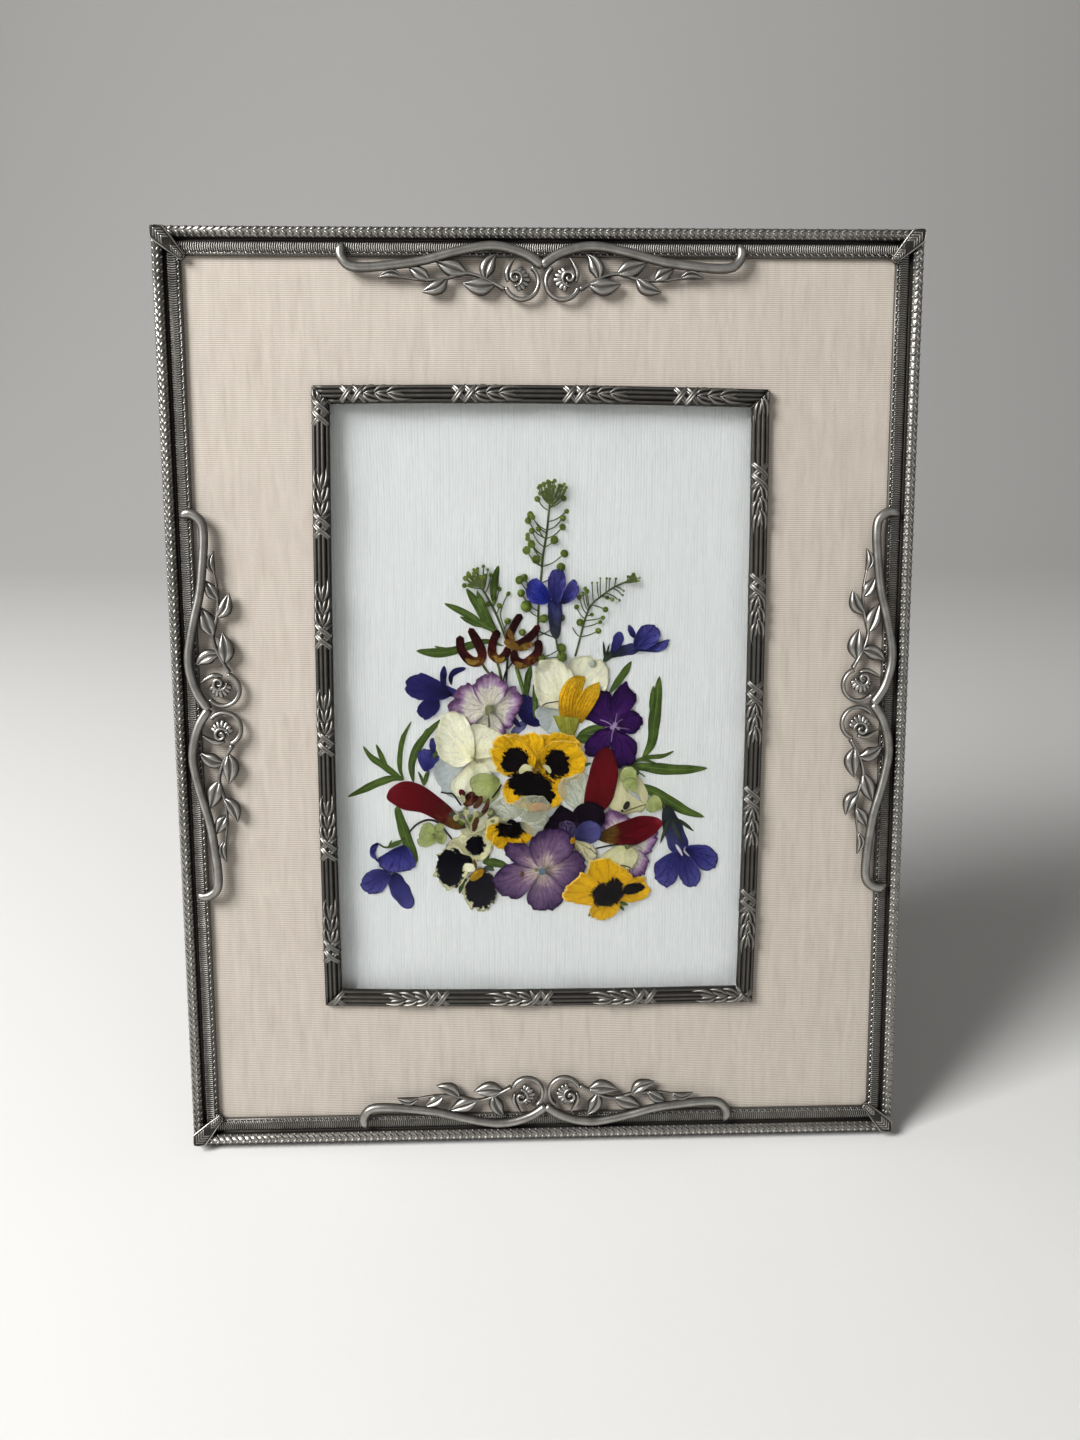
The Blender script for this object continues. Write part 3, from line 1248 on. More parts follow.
FLOWERS = {
    "leaf_spray_left": """
leaf leaf_green 2.4: -41,-22.6 -44.5,-22.1 -49,-23.5 -53.5,-25.6 -58,-27.7;
leaf 2.1: -41,-22.5 -44,-20.6 -47.5,-17.9 -50.7,-15.6 -53.1,-12.2;
leaf 1.5: -45.8,-19.4 -47.3,-16.2 -48.3,-13.8 -49.2,-11.7;
leaf 1.6: -41,-22.5 -42.2,-19 -42,-14 -41,-9.5 -38.6,-4.8;
leaf 0.9: -41.9,-13 -41.6,-10.6 -41.4,-8.6;
leaf 2.5: -38.2,-23.5 -38.7,-18 -37,-13 -33.5,-8.2 -29.2,-3.8;
leaf 1.2: -36,-11.5 -34.8,-9 -33.8,-6.8;
leaf 0.9: -35,-24.5 -35.8,-22 -36.8,-19.9;
leaf 1.4: -35,-24.3 -34.4,-21.8 -33.4,-19.4""",
    "leaf_spray_right": """
leaf leaf_green 3.5 0.5: 30.6,-16.4 33.4,-11.5 34.1,-5 34.9,2 35.5,8.8;
leaf 1.7: 33.2,-3 33.4,1.5 33.7,5.9;
leaf 1.4: 29,-16.4 33,-15.8 37,-15.4 40.3,-13.9;
leaf 0.9: 27,-17.8 30.5,-16.6 34.9,-17.5;
leaf 3.4: 26,-18.2 31,-18.7 38,-19.5 44,-19.6 50.6,-19.2 | 28.4,-23.7 33,-25.7 38.2,-28.7 44,-32.2 50,-34.3;
leaf 2.3 0.6: 20.3,3.3 23,7 25.2,10.2 27,13.2;
stem 0.35: 26.4,-18.2 29.4,-19.8 29,-22 28.4,-24;
stem 0.22: 29.6,-20.3 30.6,-21 31.6,-21.8""",
    "leaf_lower_left": """
leaf leaf_green 3.4 0.6 0.35: -43.4,-30.6 -41.9,-36 -40,-42 -37.6,-48.2""",
    "cress_spray_tall": """
spray stalk_green pod_green 0.34: -1,14 -1,20 -0.7,30 0,38 0.5,44 1.5,50 2,55 2.3,58 2.8,62 | -3.2,56,0.95
-3.9,54.2,0.95 -2.6,55.2,0.8 -0.9,51.8,0.75 -2.8,51.2,0.85 -4,50,0.7 -4,49,0.75 -2.9,47.4,1.15 -4.3,45.6,1.2
-1.5,43,1.25 -5,37.7,1.1 -6.4,37,1.2 -5.9,33.2,1.15 -4.3,29.4,1.7 0.8,25.8,1.3 7.4,57,0.7 6.3,55,0.9 6.2,52.4,0.95
3.8,48.7,1.2 6.8,44.8,1.15 5.8,40.8,1.3 6,26,1.1 6,17,1.45 6.2,14.5,1.5 -0.2,14.2,1.4 -5.5,21.7,1 -1.2,60.5,0.85
6.5,60.7,0.85 | 3,63.2 4.3,2.6 0.52,40,3""",
    "cress_spray_left": """
spray stalk_green pod_green 0.34: -10.2,19 -12,24 -14.2,29 -16.8,33.5 -19.2,37 | -18.7,40.3,0.45 -17,41,0.5
-15.7,40,0.45 -14.8,38.5,0.6 -21,38.5,0.5 -12.3,34.4,0.7 -12.3,29.5,0.8 -15.5,30,0.8 -9.9,25,0.95 -22.6,35.4,0.7 |
-19.3,37.4 3.3,2.7 0.5,34,5;
stem 0.2: -9.8,19.5 -11.4,24.5 -12,27 -11.2,30 -9.9,32.9;
pod pod_green 0.6 1.4 60: -9.7,33;
leaf leaf_green 2.7 0.6: -12.5,20 -16,25 -19,30 -22,34.6;
leaf 2.3 0.6: -12,20 -15.6,25.5 -17.4,30 -18.9,34;
leaf 2.3 0.55: -13.9,29.5 -14,34 -13.4,38 -12.5,41.3 | -12.6,21.6 -18,24.4 -23,27.6 -28.6,30.2;
leaf 1.5: -17,23.2 -20.5,24.6 -24,26.3;
leaf 2.7 0.75: -11,17.6 -16,19 -21,17.8 -26,16.2 -31,15.6 -37,16.2;
leaf 1: -26,16.6 -29,16.8 -31.6,17.6""",
    "cress_spray_right": """
spray stalk_green pod_green 0.3 0.55: 10.2,14.6 11.6,20 13.2,26 15,30 18,32.5 21.5,35 26,37 | 10.5,29.2,0.75
11.2,32,0.65 12.2,33,0.65 12.9,34.6,0.6 13.5,33.8,0.7 11.5,24.7,1.05 17,22.2,0.9 17.5,24.8,0.6 18.3,26.1,0.65
19,28.5,0.85 15,27,0.6 19.5,32,0.6 21,31.4,0.6 23,31.2,0.45 24,32.7,0.35 24.3,34,0.3 15,36.3,0.32 16.5,36.3,0.3
17.4,37.6,0.3 19.3,37.6,0.36 20.2,37.5,0.34 22,37.5,0.36 9.4,23,0.2 | 27.3,37.8 1.9,1.5 0.4,18,7""",
    "lobelia_lower_left": """
stem dark_stem 0.3: -39.8,-38.8 -37.5,-36.3 -34.5,-34.9 -31.8,-35.2 -29.8,-36.9 -26.4,-41.3;
stem stalk_green 0.3: -48.8,-42.2 -47.3,-43.2 -45.5,-43.1 -43.5,-41.8 -41,-40.6;
leaf leaf_green 1.4: -46.4,-43.2 -44,-42.2 -41.3,-40.8;
leaf 0.6: -45.8,-43 -45.4,-42 -44.8,-40.8;
shape lobelia: -41.5,-42.4 -44.6,-43.6 -47.4,-45.4 -49.4,-47 -47.8,-49.8 -45.6,-51 -43,-50.9 -40.2,-50.4 -38,-49.4
-37.8,-47.6 -38.8,-45 -40,-43.2 | -45.6,-51 -48.2,-49.8 -51.4,-50.3 -53.6,-52.2 -54.5,-54.6 -53.4,-56.8 -50.8,-57.6
-48.2,-57 -46.6,-55 -45.6,-52.6;
leaf 5.8 0.5 0.4: -44.6,-51 -43.4,-55 -41.4,-58.8 -39.2,-62.2;
leaf 1.9: -48.9,-41.8 -50.4,-43.4 -50.7,-45.4 -49.4,-47;
leaf 0.7: -50,-46.4 -49,-47.3 -47.8,-47""",
    "lobelia_lower_right": """
stem stalk_green 0.75: 36.8,-29.6 37.8,-31.4 38.6,-33.5;
leaf lobelia_tube 6.3 0.72 0.4: 38.2,-30.6 39.2,-34.5 41,-39.5 43.2,-46;
leaf leaf_dark 1.2: 39.6,-34.6 43,-35.8 46.8,-38.7;
leaf 1.1: 39.2,-34 38,-38 36.6,-42.4;
leaf 1.2: 39.6,-34.4 41.6,-39 43.8,-42.8;
shape lobelia: 44,-44.4 44.4,-43.2 46,-42.9 48.6,-42.8 51.2,-43.2 53.2,-44.8 54.4,-47.2 53.6,-49.6 51.6,-51
49.2,-50.4 47.2,-48.4 | 43,-44.8 41,-44.6 39.6,-45.3 37.2,-46.7 35.2,-48.4 34.7,-50.6 35.2,-53 36.4,-54.9 38.6,-56
40.6,-55.2 41.8,-53.6 42.3,-51.6 43.4,-48 | 43.6,-44.8 42.6,-48 42.2,-52 43.9,-55 46,-56.2 48.2,-55.2 49.1,-53.4
48.8,-51 47.4,-48.4 45.4,-45.6;
leaf white_throat 0.9: 41.2,-42.6 42.4,-44.4 43.2,-46;
leaf 0.6: 44.2,-43 43.8,-44.4 45.4,-46.2""",
    "lobelia_left": """
leaf lobelia 3 0.4 0.35: -31.5,5 -28,4.3 -24.4,3.2;
shape lobelia_deep: -30.4,3 -30,0 -30.6,-1.8 -32,-3.1 -34,-4.3 -36,-3.3 -36.9,-1.2 -35.6,0.8 -33.2,2.8 | -26.4,3
-28.8,1.8 -32,1.6 -35.8,1.6 -38,2.2 -40,4 -40.3,6 -39.4,8 -37.4,9.1 -35.2,9.6 -32.4,8.5 -29.8,7 -27.6,4.8;
leaf 2 0.62: -28.4,4.6 -29,7.4 -28.7,11.8;
leaf 1.8 0.62: -26.6,6 -26.7,8.6 -25.2,10.2 -22.2,11.1""",
    "lobelia_top": """
stem stalk_green 0.3: 4.4,21.5 4.6,18.6 5.6,15;
stem dark_stem 0.2: -0.6,22 2,20.9 4.2,20.2;
leaf lobelia_tube 4.4 0.8 0.4: 4.5,19.6 4.2,23.5 4.1,27.5 4,31.5;
shape lobelia_bright: 3,31 1.2,30 -1.6,30 -3.6,31 -4.5,33.6 -4,36 -2,37.6 0,36.6 1.8,34.6 2.6,32.6;
shape lobelia: 5.6,30.2 6,31.6 6.7,33.4 8,36 9.4,37.3 10.5,36.4 11.1,34.2 10.3,32.2 8.8,30.8 6.8,30 | 4.3,29.6
3,31.5 2.1,34 2,37 2.9,39.5 4.4,40.1 6.3,39.7 7.2,37.4 7,34.6 6.1,32 5.2,30.4""",
    "lobelia_upper_right": """
leaf leaf_dark 0.8: 19.2,12.8 18.9,16 18.5,19.2;
leaf 0.7: 19.4,13.2 19.8,16 20.4,18.4;
leaf 2: 18.6,13 20,14.5 22,16.6;
leaf lobelia_tube 3.4 0.7 0.4: 20.4,14.6 24,16.2 29.5,17.2;
leaf lobelia 3.2 0.66 0.5: 21,15.8 22.6,18.5 23.5,22;
leaf 1.9: 27.9,20 26.9,22 26,24;
shape: 28.5,16.2 31,17 33,18.2 35.4,19 37.8,19.7 38.1,18.6 36.9,16.8 34.8,15.9 32,16 | 27.6,17 27.5,19.4 28.6,22
30.2,23.8 32.4,24.1 34.4,23.4 35.4,21.8 35.2,19.8 33.6,18 31,16.6""",
    "lobelia_centre": """
leaf lobelia_pale 2.6 0.5 0.4: -8.9,-8.7 -6.5,-7 -4,-4.4;
petal lobelia_deep 27 0.34: -4.6,-5.2 -4.2,3.3;
petal 40 0.3: -4.6,-5 0.9,-2.6;
leaf 1.8: -9,-2.6 -7.8,-4.6 -6,-6.6""",
    "maroon_flower_left": """
stem stalk_green 0.4: -17.4,12.4 -16.6,11 -15.4,9.4;
leaf maroon 2.9 0.5 0.12: -24,20.8 -23.6,16.6 -21.2,13.5 -18.6,13 -17.4,15 -18.6,18.4 -21.2,23;
leaf olive_base 1.7: -22.4,14 -20.4,12.7 -18.2,13.2""",
    "maroon_flower_middle": """
stem stalk_green 0.4: -12.9,12.6 -12.2,10 -11.6,6.6;
leaf maroon 2.6 0.5 0.12: -12.6,22.4 -14.2,18.8 -14.4,15.4 -12.6,13.7 -10.6,15 -9.6,17.6;
leaf olive_base 1.7: -14,14.8 -12.4,13.4 -10.6,14.4""",
    "maroon_flower_tall": """
stem dark_stem 0.36: -9.9,14.6 -10.1,11 -10.4,6.6;
stem 0.26: -8.4,12.8 -10.4,10 -11.2,7.2;
leaf maroon 2.6 0.5 0.12: -5.8,27.2 -8,23.6 -9.4,19.8 -7.8,17.8 -4.8,19.2 -2.2,21.4 -0.6,24;
leaf olive_base 2.6 0.5 0.3: -10.8,19.4 -9,18.2 -6.4,16.6;
leaf 1.7: -9.6,22.8 -8.8,20.6 -8,18.2""",
    "maroon_flower_right": """
stem leaf_green 0.62: -7.4,11.6 -6.2,7.6 -4.9,3.3;
leaf maroon 2.8 0.5 0.14: -8,16.6 -7.6,13.6 -5,12.5 -2.2,14.2 -0.7,16.8 -1.1,19.6;
leaf olive_base 2: -8,13.2 -6.4,12 -4,11.6;
leaf 2.2: -6.8,16.4 -4.4,17.6 -2,18.4""",
    "leaf_tips_centre": """
leaf leaf_green 2.1 0.55: -4,2.6 -4,7 -2.9,12.2;
leaf 1.6: -1.8,-4 -1.7,1.4 -2.1,7.3;
leaf 2.3: 10.8,-10 14,-7.8 19.6,-6.2;
leaf 2.6: 10.6,-9.6 13.4,-10.4 16.4,-9;
leaf 1: 12.4,-19 13.8,-18 15.4,-17.6""",
    "lobelia_scrap": """
petal lobelia 36 0.14: -34.6,-20 -33.2,-13.2;
leaf leaf_green 1.5: -32,-16 -31.4,-13.8 -31.6,-11.6;
leaf lobelia 1.8 0.6 0.3: -32,-14.4 -32.4,-12.2 -32.2,-9.8""",
    "hydrangea_violet_edged": """
shape violet_edge: -15.6,-1.5 -11.5,3.2 -8.8,5.8 -6.8,4.4 -5.4,2.2 -6,-0.8 -7.8,-3.6 -8.4,-6 -10.2,-7.2 -12.6,-5 |
-15.6,-1.5 -18.6,-4.6 -20.8,-7.2 -20.4,-9.8 -18.6,-11.8 -16.4,-13.4 -14.8,-13.8 -12.8,-12 -10.4,-8.6 -11,-6 -13,-3.4
| -15.6,-1.5 -19,-4.4 -21.8,-6.4 -24.6,-5.1 -26.6,-2.8 -27.7,-0.2 -26.4,1.7 -25,4.6 -23.6,6 -21,6.4 -19,4 |
-15.6,-1.5 -18.6,1.6 -20.3,5.6 -19,7.6 -16.6,9.4 -14.6,9.8 -12.4,8.6 -9.8,6.2 -10.5,3 -13,0.6;
pod heart_green 1.25: -15.4,-0.9;
pod 0.6: -15.9,-2.2;
stem 0.22: -15.6,-2 -15.5,-4.6 -15.5,-7.2""",
    "hydrangea_white": """
shape white_petal: -19.8,-16 -17.6,-18.6 -14.2,-20.4 -11.4,-20 -10.4,-17 -11.4,-13.6 -14,-11.4 -16.8,-12.4;
shape grey_petal: -19.8,-16 -26,-17.6 -29,-16.6 -31.4,-17.4 -32,-20 -31,-23.4 -28.6,-26.8 -25.4,-28 -23,-25 -21,-20;
shape white_petal: -19.8,-16 -23.4,-19.6 -26.4,-22.6 -27,-26 -24,-28.4 -20,-28.6 -16.6,-27 -14.6,-23.6 -15,-20
-17.6,-17.6 | -19.8,-16 -22.6,-12 -22.8,-7 -19.6,-5.4 -15.6,-6.2 -12,-8.4 -10.8,-11.6 -12.4,-14.4 -16,-15.6 |
-19.8,-16 -24,-18.6 -28,-17.6 -30.6,-14.6 -31.6,-11 -31,-7.4 -29.8,-3.6 -26,-1.6 -22,-4 -20,-9;
pod heart_green 0.5: -19.8,-16;
stem 0.16: -21,-15.4 -19.8,-16 -18.8,-17.2""",
    "hydrangea_cream": """
petal grey_petal 50 0.3: 6.4,-1 0.2,-6.4;
shape white_petal: 9,-2 8.4,4 8.2,9 8.4,13.4 10.8,14.4 13.2,14.7 16,14.1 18.4,13.2 20,11.2 20.5,8.4 19.4,4.4 16,0 |
7,-1.4 3.4,-0.4 0.4,-0.4 -1.6,3.4 -2.2,7.4 -1.8,10.6 -0.6,13 1.6,14.1 4.4,13.8 7,12.4 9.2,10.4 10.2,7.6 9.6,3;
stem dark_stem 0.16: 0.4,-0.2 1.4,0.6 5.4,1.2;
pod pale_spot 1.1: 15.4,12.4""",
    "pale_petals_left": """
petal green_petal 46 0.34: -12.4,-22.4 -19.9,-26.8;
petal sheer_petal 66 0.34: -7.6,-34.4 -10.8,-27.4;
petal white_petal 30 0.4: -24,-39 -14.4,-36.6;
leaf 2.6: -21,-38.4 -18,-35 -14.6,-31.4""",
    "pale_petals_right": """
petal cream_petal 36 0.3: 25.2,-19 26.4,-33.6;
petal green_petal 46 0.4: 28.6,-22.6 24.4,-20 | 28.6,-22.4 26,-26;
petal 52 0.34: 36.5,-31.2 32.4,-29.2;
stem heart_green 0.2: 25.1,-32.6 28.5,-31.4 31.9,-30.2;
leaf grey_petal 1.3: 26.4,-25.8 28.4,-27.2 30.5,-29.2;
pod dark_stem 0.9 1.6 60: 26,-30.5;
pod 0.4: 24.7,-32""",
    "green_sepals_left": """
petal green_petal 48 0.34: -31.8,-39.4 -36.2,-37.4;
petal 24 0.34: -31,-40.2 -37,-41.9;
petal 34 0.4: -31.4,-38.6 -29.9,-35.8;
petal 46 0.4: -31.8,-39.8 -28.4,-40.6;
pod heart_green 0.4: -32,-39.2""",
    "bud_cluster": """
stem dark_stem 0.28: -30,-26.3 -28,-26.6 -26.6,-26.6 -25.4,-28 -24,-30.4;
leaf brown_bud 2.2 0.5 0.3: -20.4,-38.4 -19.8,-35.4 -19,-32;
leaf 3.4 0.5 0.4: -22.8,-30.6 -21.2,-28.4 -20.4,-26;
leaf maroon 1.9 0.5 0.4: -22.6,-27 -20.8,-28.4 -18.6,-27.4;
leaf brown_bud 1.8 0.5 0.4: -20.2,-31.2 -18.6,-29.6 -17.8,-27.2;
leaf 1.6: -18.4,-34 -16.4,-31 -15.6,-28;
leaf red_petal 1.9: -22.9,-27.4 -23.6,-26.4 -24.4,-25.4;
leaf pale_stalk 1.5: -23,-29.4 -23.4,-28 -23.8,-26.8;
stem dark_stem 0.2: -18.6,-33.4 -17.2,-32 -15.8,-31;
stem 0.28: -14.6,-28 -13,-26 -11.8,-24;
buds heart_green: -21.6,-33.6 4.2,2.6 0.62,11,5;
stem pale_stalk 0.28: -21,-38.2 -22,-36 -23.6,-34.6 -25,-33.9;
stem 0.26: -21,-38 -22,-35 -22.3,-32.5 | -20.8,-38.6 -20.8,-35.6 -19.6,-32.9;
stem dark_stem 0.16: -21.4,-37 -22.4,-34.6 -24.2,-32.8;
pod pale_stalk 1: -25.3,-33.8 -22.3,-32.3 -19.5,-32.7;
pod dark_stem 0.45: -25.3,-33.7 -22.3,-32.2 -19.5,-32.6;
pod pod_green 0.8 1.2 60: -23.9,-35.2;
pod 0.8 1.2 20: -20.8,-34.4;
stem pale_stalk 0.22: -22,-39.2 -19,-38.8 -16,-37;
pod heart_green 1.1 1.2 40: -15,-32.4;
pod 0.8 1.3 10: -14.4,-34.9""",
    "red_petal_left": """
panel red_petal: -22.3,-37 -24.5,-34 -27,-31 -31,-27.5 -36,-24 -41,-22.9 -45,-25 -46.3,-27.4 | -22.3,-37 -26,-37.8
-31,-35 -36,-32.6 -41,-31.7 -44.4,-29.8 -46,-28.6 -46.3,-27.4;
leaf leaf_dark 2.2 0.5 0.5: -27.6,-32.4 -25.2,-34 -22.8,-36.6""",
    "purple_flower": """
shape purple_petal: 22,-6 24.6,-3 26.6,-1.5 28.4,-1.9 30,-3.2 30.8,-5.5 30,-6.4 29,-8 28,-8.7 25.6,-8.5 23.6,-7.8 |
22,-6 21,-7.6 19,-7.6 17.2,-7.6 15.2,-9.1 13.5,-11.2 13.1,-13.4 14,-15.2 15.6,-15.7 18,-15.4 20.4,-13.6 21.4,-10 |
22,-6 19.4,-6.4 16.8,-5.8 14.8,-4.7 13.3,-4 14.3,-1.4 15.5,1 17.6,4.3 20.2,4.1 21.3,2.4 21.4,-1.5 | 22,-6 20.8,-2
20.6,1 21.4,3 23.6,6 25.6,6.9 26.4,5.4 27.8,3.8 28.8,2.1 28.3,0.6 26.8,-1.4 24.4,-3.6 | 22,-6 23.4,-8.4 26.6,-9.4
28.6,-10.9 29.1,-13.4 28.6,-16 27.4,-17.8 25.2,-18.3 23.2,-18.9 21.8,-17.4 21.3,-14 21,-10.4;
pod stamen 0.7: 22.2,-5.6;
pod 0.55: 21.2,-6.6 23.2,-6.8;
stem 0.16: 22,-6.4 22.4,-4 22.8,-2.4;
stem 0.18: 22,-6.4 24.4,-6.8 26.6,-7.2;
stem 0.16: 22,-6.4 21.4,-8.4 21.2,-11 | 22,-6.4 19.8,-5 17.8,-4.4;
stem 0.14: 22,-6.4 23.4,-4.6 24.6,-4.2""",
    "yellow_bud": """
panel yellow_glossy: 5.7,-4.4 5.3,1 6.2,5 8.2,7.8 10.5,8.9 13.1,8.6 | 11.2,-5 11.8,0 12.2,3.5 12.8,6 13.3,7.6
13.1,8.6;
panel: 9.4,-5.2 9.9,-1 11,2.2 13.3,5.1 17.4,7.1 | 12.4,-5.4 14.5,-2.4 16.4,0.8 17.7,3.8 17.4,7.1;
panel calyx_green: 3.6,-3 4.9,-6 6.2,-8.3 | 11.9,-3.9 11,-7 10,-9.3;
leaf 1.2: 8.8,-9 8.6,-6.2 8.2,-3.2""",
    "hydrangea_pale": """
shape violet_edge: 26.5,-42.6 21,-39.6 18.4,-37 19,-34 20.2,-32.2 22.2,-31.7 24.6,-32.8 27.4,-34.6 28,-38 | 26.5,-43
30,-40 33,-38.4 35.4,-37.6 35.7,-40.4 34.6,-43.2 32.8,-45.8 29.6,-45.4 | 26.5,-43 26,-46.6 26.8,-49.6 27.6,-52.4
30,-53.1 31.6,-52 32.6,-49.8 33,-47 30.6,-44.6;
shape cream_petal: 26.5,-43 23.4,-42.8 20.4,-44.6 18.4,-46.2 20.6,-48 24,-49.6 27.6,-50.2 29.6,-47 29,-44;
pod heart_green 0.8: 26.3,-43;
stem dark_stem 0.26: 16.8,-44 20,-43.2 24,-42.4;
stem 0.14: 24.4,-49 26,-49.2 27.6,-49.9""",
    "red_petal_right": """
panel red_petal: 17,-40.1 20,-37.8 26,-35 31,-33.7 35.5,-34.3 37.6,-36 | 17,-41 20,-42.1 25,-42.3 30,-42.3
34.6,-39.4 37.6,-36""",
    "viola_cream": """
leaf leaf_green 2.7: -17.6,-48 -14,-48.2 -9.6,-49.2;
leaf 1.6: -17.2,-48.6 -16.2,-46 -15.8,-43.6;
leaf 1.5: -22.4,-53 -24,-55.6 -24.6,-57.8;
leaf leaf_dark 1.6: -17.4,-50 -15.6,-49.8 -14,-50.6;
petal cream_blotched 34 0.34: -20,-48 -26.8,-40.6;
shape: -19,-47.6 -21.4,-44.8 -23.4,-42 -22.4,-40 -19.6,-38.9 -16.6,-38.8 -14.7,-41 -14.8,-44 -16.6,-46.6 | -20,-48.6
-22.6,-45.6 -25,-42.2 -27.8,-42.2 -30.2,-44.8 -31.6,-48.4 -31.9,-51.6 -30.4,-54.4 -27.6,-56.4 -24.6,-55.4
-22.6,-52.4 -21.4,-50.4 | -18.8,-50 -21.6,-52 -23.2,-55 -23.4,-58.6 -21.4,-61.8 -18.4,-63.3 -15.2,-62 -13.4,-58.6
-13.4,-54.6 -14.8,-51.6 -17,-50.2;
leaf white_petal 2.8 0.5 0.4: -23.4,-50 -21.6,-49.4 -19.6,-50;
leaf yellow_glossy 2.6 0.5 0.4: -17.3,-49.8 -19,-51.6 -21.2,-53.4;
leaf olive_base 0.9: -20.2,-46.8 -19.8,-48.2 -19.4,-50""",
    "pansy_yellow_small": """
petal cream_petal 30 0.34: -9.2,-36.6 -16.6,-36.2;
petal yellow_petal 32 0.34: -9.4,-37 -16.4,-39.4;
petal 34 0.34: -9.2,-36.4 -2.8,-41;
petal 44 0.34: -9.2,-36 -10.8,-44.2;
leaf 1.3: -10.2,-35.4 -8.8,-35.2 -7.2,-35.5""",
    "pansy_yellow_large": """
shape yellow_petal: -1,-17 -4,-12 0,-11 4,-12.6 4.6,-17 3,-21 -1,-22.4 -5,-20.6 | 0,-17.4 -1.6,-12 -0.6,-9 2.4,-8.6
5,-8.1 8.2,-8.6 11,-10.2 12.6,-12.6 8,-15 | -1,-17.4 -6,-13 -9.5,-10.5 -11.5,-8.9 -9,-8.3 -6,-8.9 -3,-8.3 0,-8.9
1,-12 | 0.4,-18.8 -0.4,-15.4 0.6,-12.8 3.2,-11.1 6,-10.5 8.6,-10.6 11,-11.7 12.9,-14 13.7,-16.8 13.4,-19.6 12,-21.6
9.6,-22.8 6.8,-23.5 4.2,-22 2.2,-20.6 | -2,-19 -5,-21 -9.6,-21.7 -12,-20.4 -14,-18 -14.9,-15 -14.8,-12.2 -13.6,-10
-11.4,-8.8 -8.4,-9 -5.4,-10.6 -3.2,-13.2 -1.4,-16 | -1,-19.2 -5,-20.6 -8.8,-21.8 -10.9,-23.6 -11.6,-26 -10.6,-28.6
-7.6,-30.6 -3.6,-31.6 1,-31.8 3.6,-31.2 6.2,-30 7.9,-28 7.9,-25.6 6.8,-23.2 4.6,-21 2,-19.2;
leaf cream_petal 1.9 0.5 0.4: -6.4,-20.4 -4.6,-18.7 -2.2,-19.2;
leaf 1.3 0.5 0.4: 0.6,-18 2,-18.8 3,-20.4;
leaf olive_base 0.9: -2.8,-18.6 -1.6,-19.6 -0.4,-18.8""",
    "pale_petal_middle": """
petal sheer_petal 40 0.34: 12.6,-32 10.2,-20.8;
petal 56 0.3: -2.8,-35.6 -2.4,-27.4;
petal 46 0.34: -6,-36.4 2.2,-34.6;
leaf peach_petal 2.6 0.5 0.4: -3.6,-31.6 -0.6,-30.6 2.4,-31.4""",
    "red_petal_centre": """
panel red_deep: 13,-30.4 13.5,-26 14.3,-22 15.3,-18 16.3,-15.4 18.2,-13.2 19.5,-12.7 | 19,-32.4 21.5,-29.3 22.6,-26
23.4,-20.6 22.6,-16.6 21.4,-13.4 19.5,-12.7""",
    "viola_dark": """
shape black_petal: 10,-40.6 6,-38 1,-37.9 2,-35.4 3.8,-32.9 6,-30.5 8.6,-31.6 10.6,-33.4 11.4,-36.4 | 11,-39.6
9.8,-35.6 9.8,-32.4 11.8,-30.2 14.6,-29.3 17.4,-30 19.2,-32 19.6,-34.6 18.4,-37 15,-38.6;
shape blue_black: 9.8,-40.6 7.4,-39 5.6,-36.6 7.2,-35.2 9.6,-35.4 10.8,-37.6;
shape slate_petal: 10.2,-40.6 10.6,-38 11.8,-36.2 14,-35.1 16.8,-35.5 18.5,-37.2 18.5,-39.6 17,-41.6 14.4,-42.5
12,-41.8;
shape striped_petal: 9.6,-40.6 12,-41.3 14.6,-42 16.6,-43.6 17.3,-45.8 16.6,-47.6 15,-48.4 12.8,-46.8 10.8,-44.4
9.2,-42.4;
pod yellow_glossy 0.8 1.3 60: 9.8,-41""",
    "hydrangea_purple": """
shape mauve_petal: 0.6,-50.5 5,-47.6 8.6,-45 10.8,-44.2 12.6,-46 13.9,-48.4 13.4,-50.8 11.6,-53.4 9,-55.6 6.6,-56.6
3.4,-54 | 0.6,-50.5 -4,-49 -8,-48.2 -11.4,-49.4 -13.6,-51.4 -14.4,-54 -13.2,-56.8 -10.4,-58.8 -6.8,-59.4 -4,-57.2
-1.4,-53.4 | 0.6,-50.5 -1.4,-53.6 -3.6,-57 -4,-60 -2.4,-62.4 1,-63.2 4.4,-62.6 7,-60.4 7.6,-57.4 5.6,-54.6 3,-52.2 |
0.6,-50.5 -1,-47.6 -2.2,-44.8 -4,-42.6 -6.8,-41.7 -9.8,-41.9 -11.1,-43.2 -10.4,-45.6 -8.6,-47.6 -5.4,-49.2 |
0.6,-50.5 -2.4,-47 -3.4,-43.6 -2.8,-40.6 -0.8,-38.6 2,-37.6 5.4,-37.3 8.2,-38.4 9.8,-40.6 10.2,-43.4 8.6,-46.4
4.6,-48.6;
pod blue_heart 1.15: 0.6,-50.5;
pod heart_green 0.6: -1.2,-50;
pod brown_bud 0.6 1.6 80: -5.6,-51.8""",
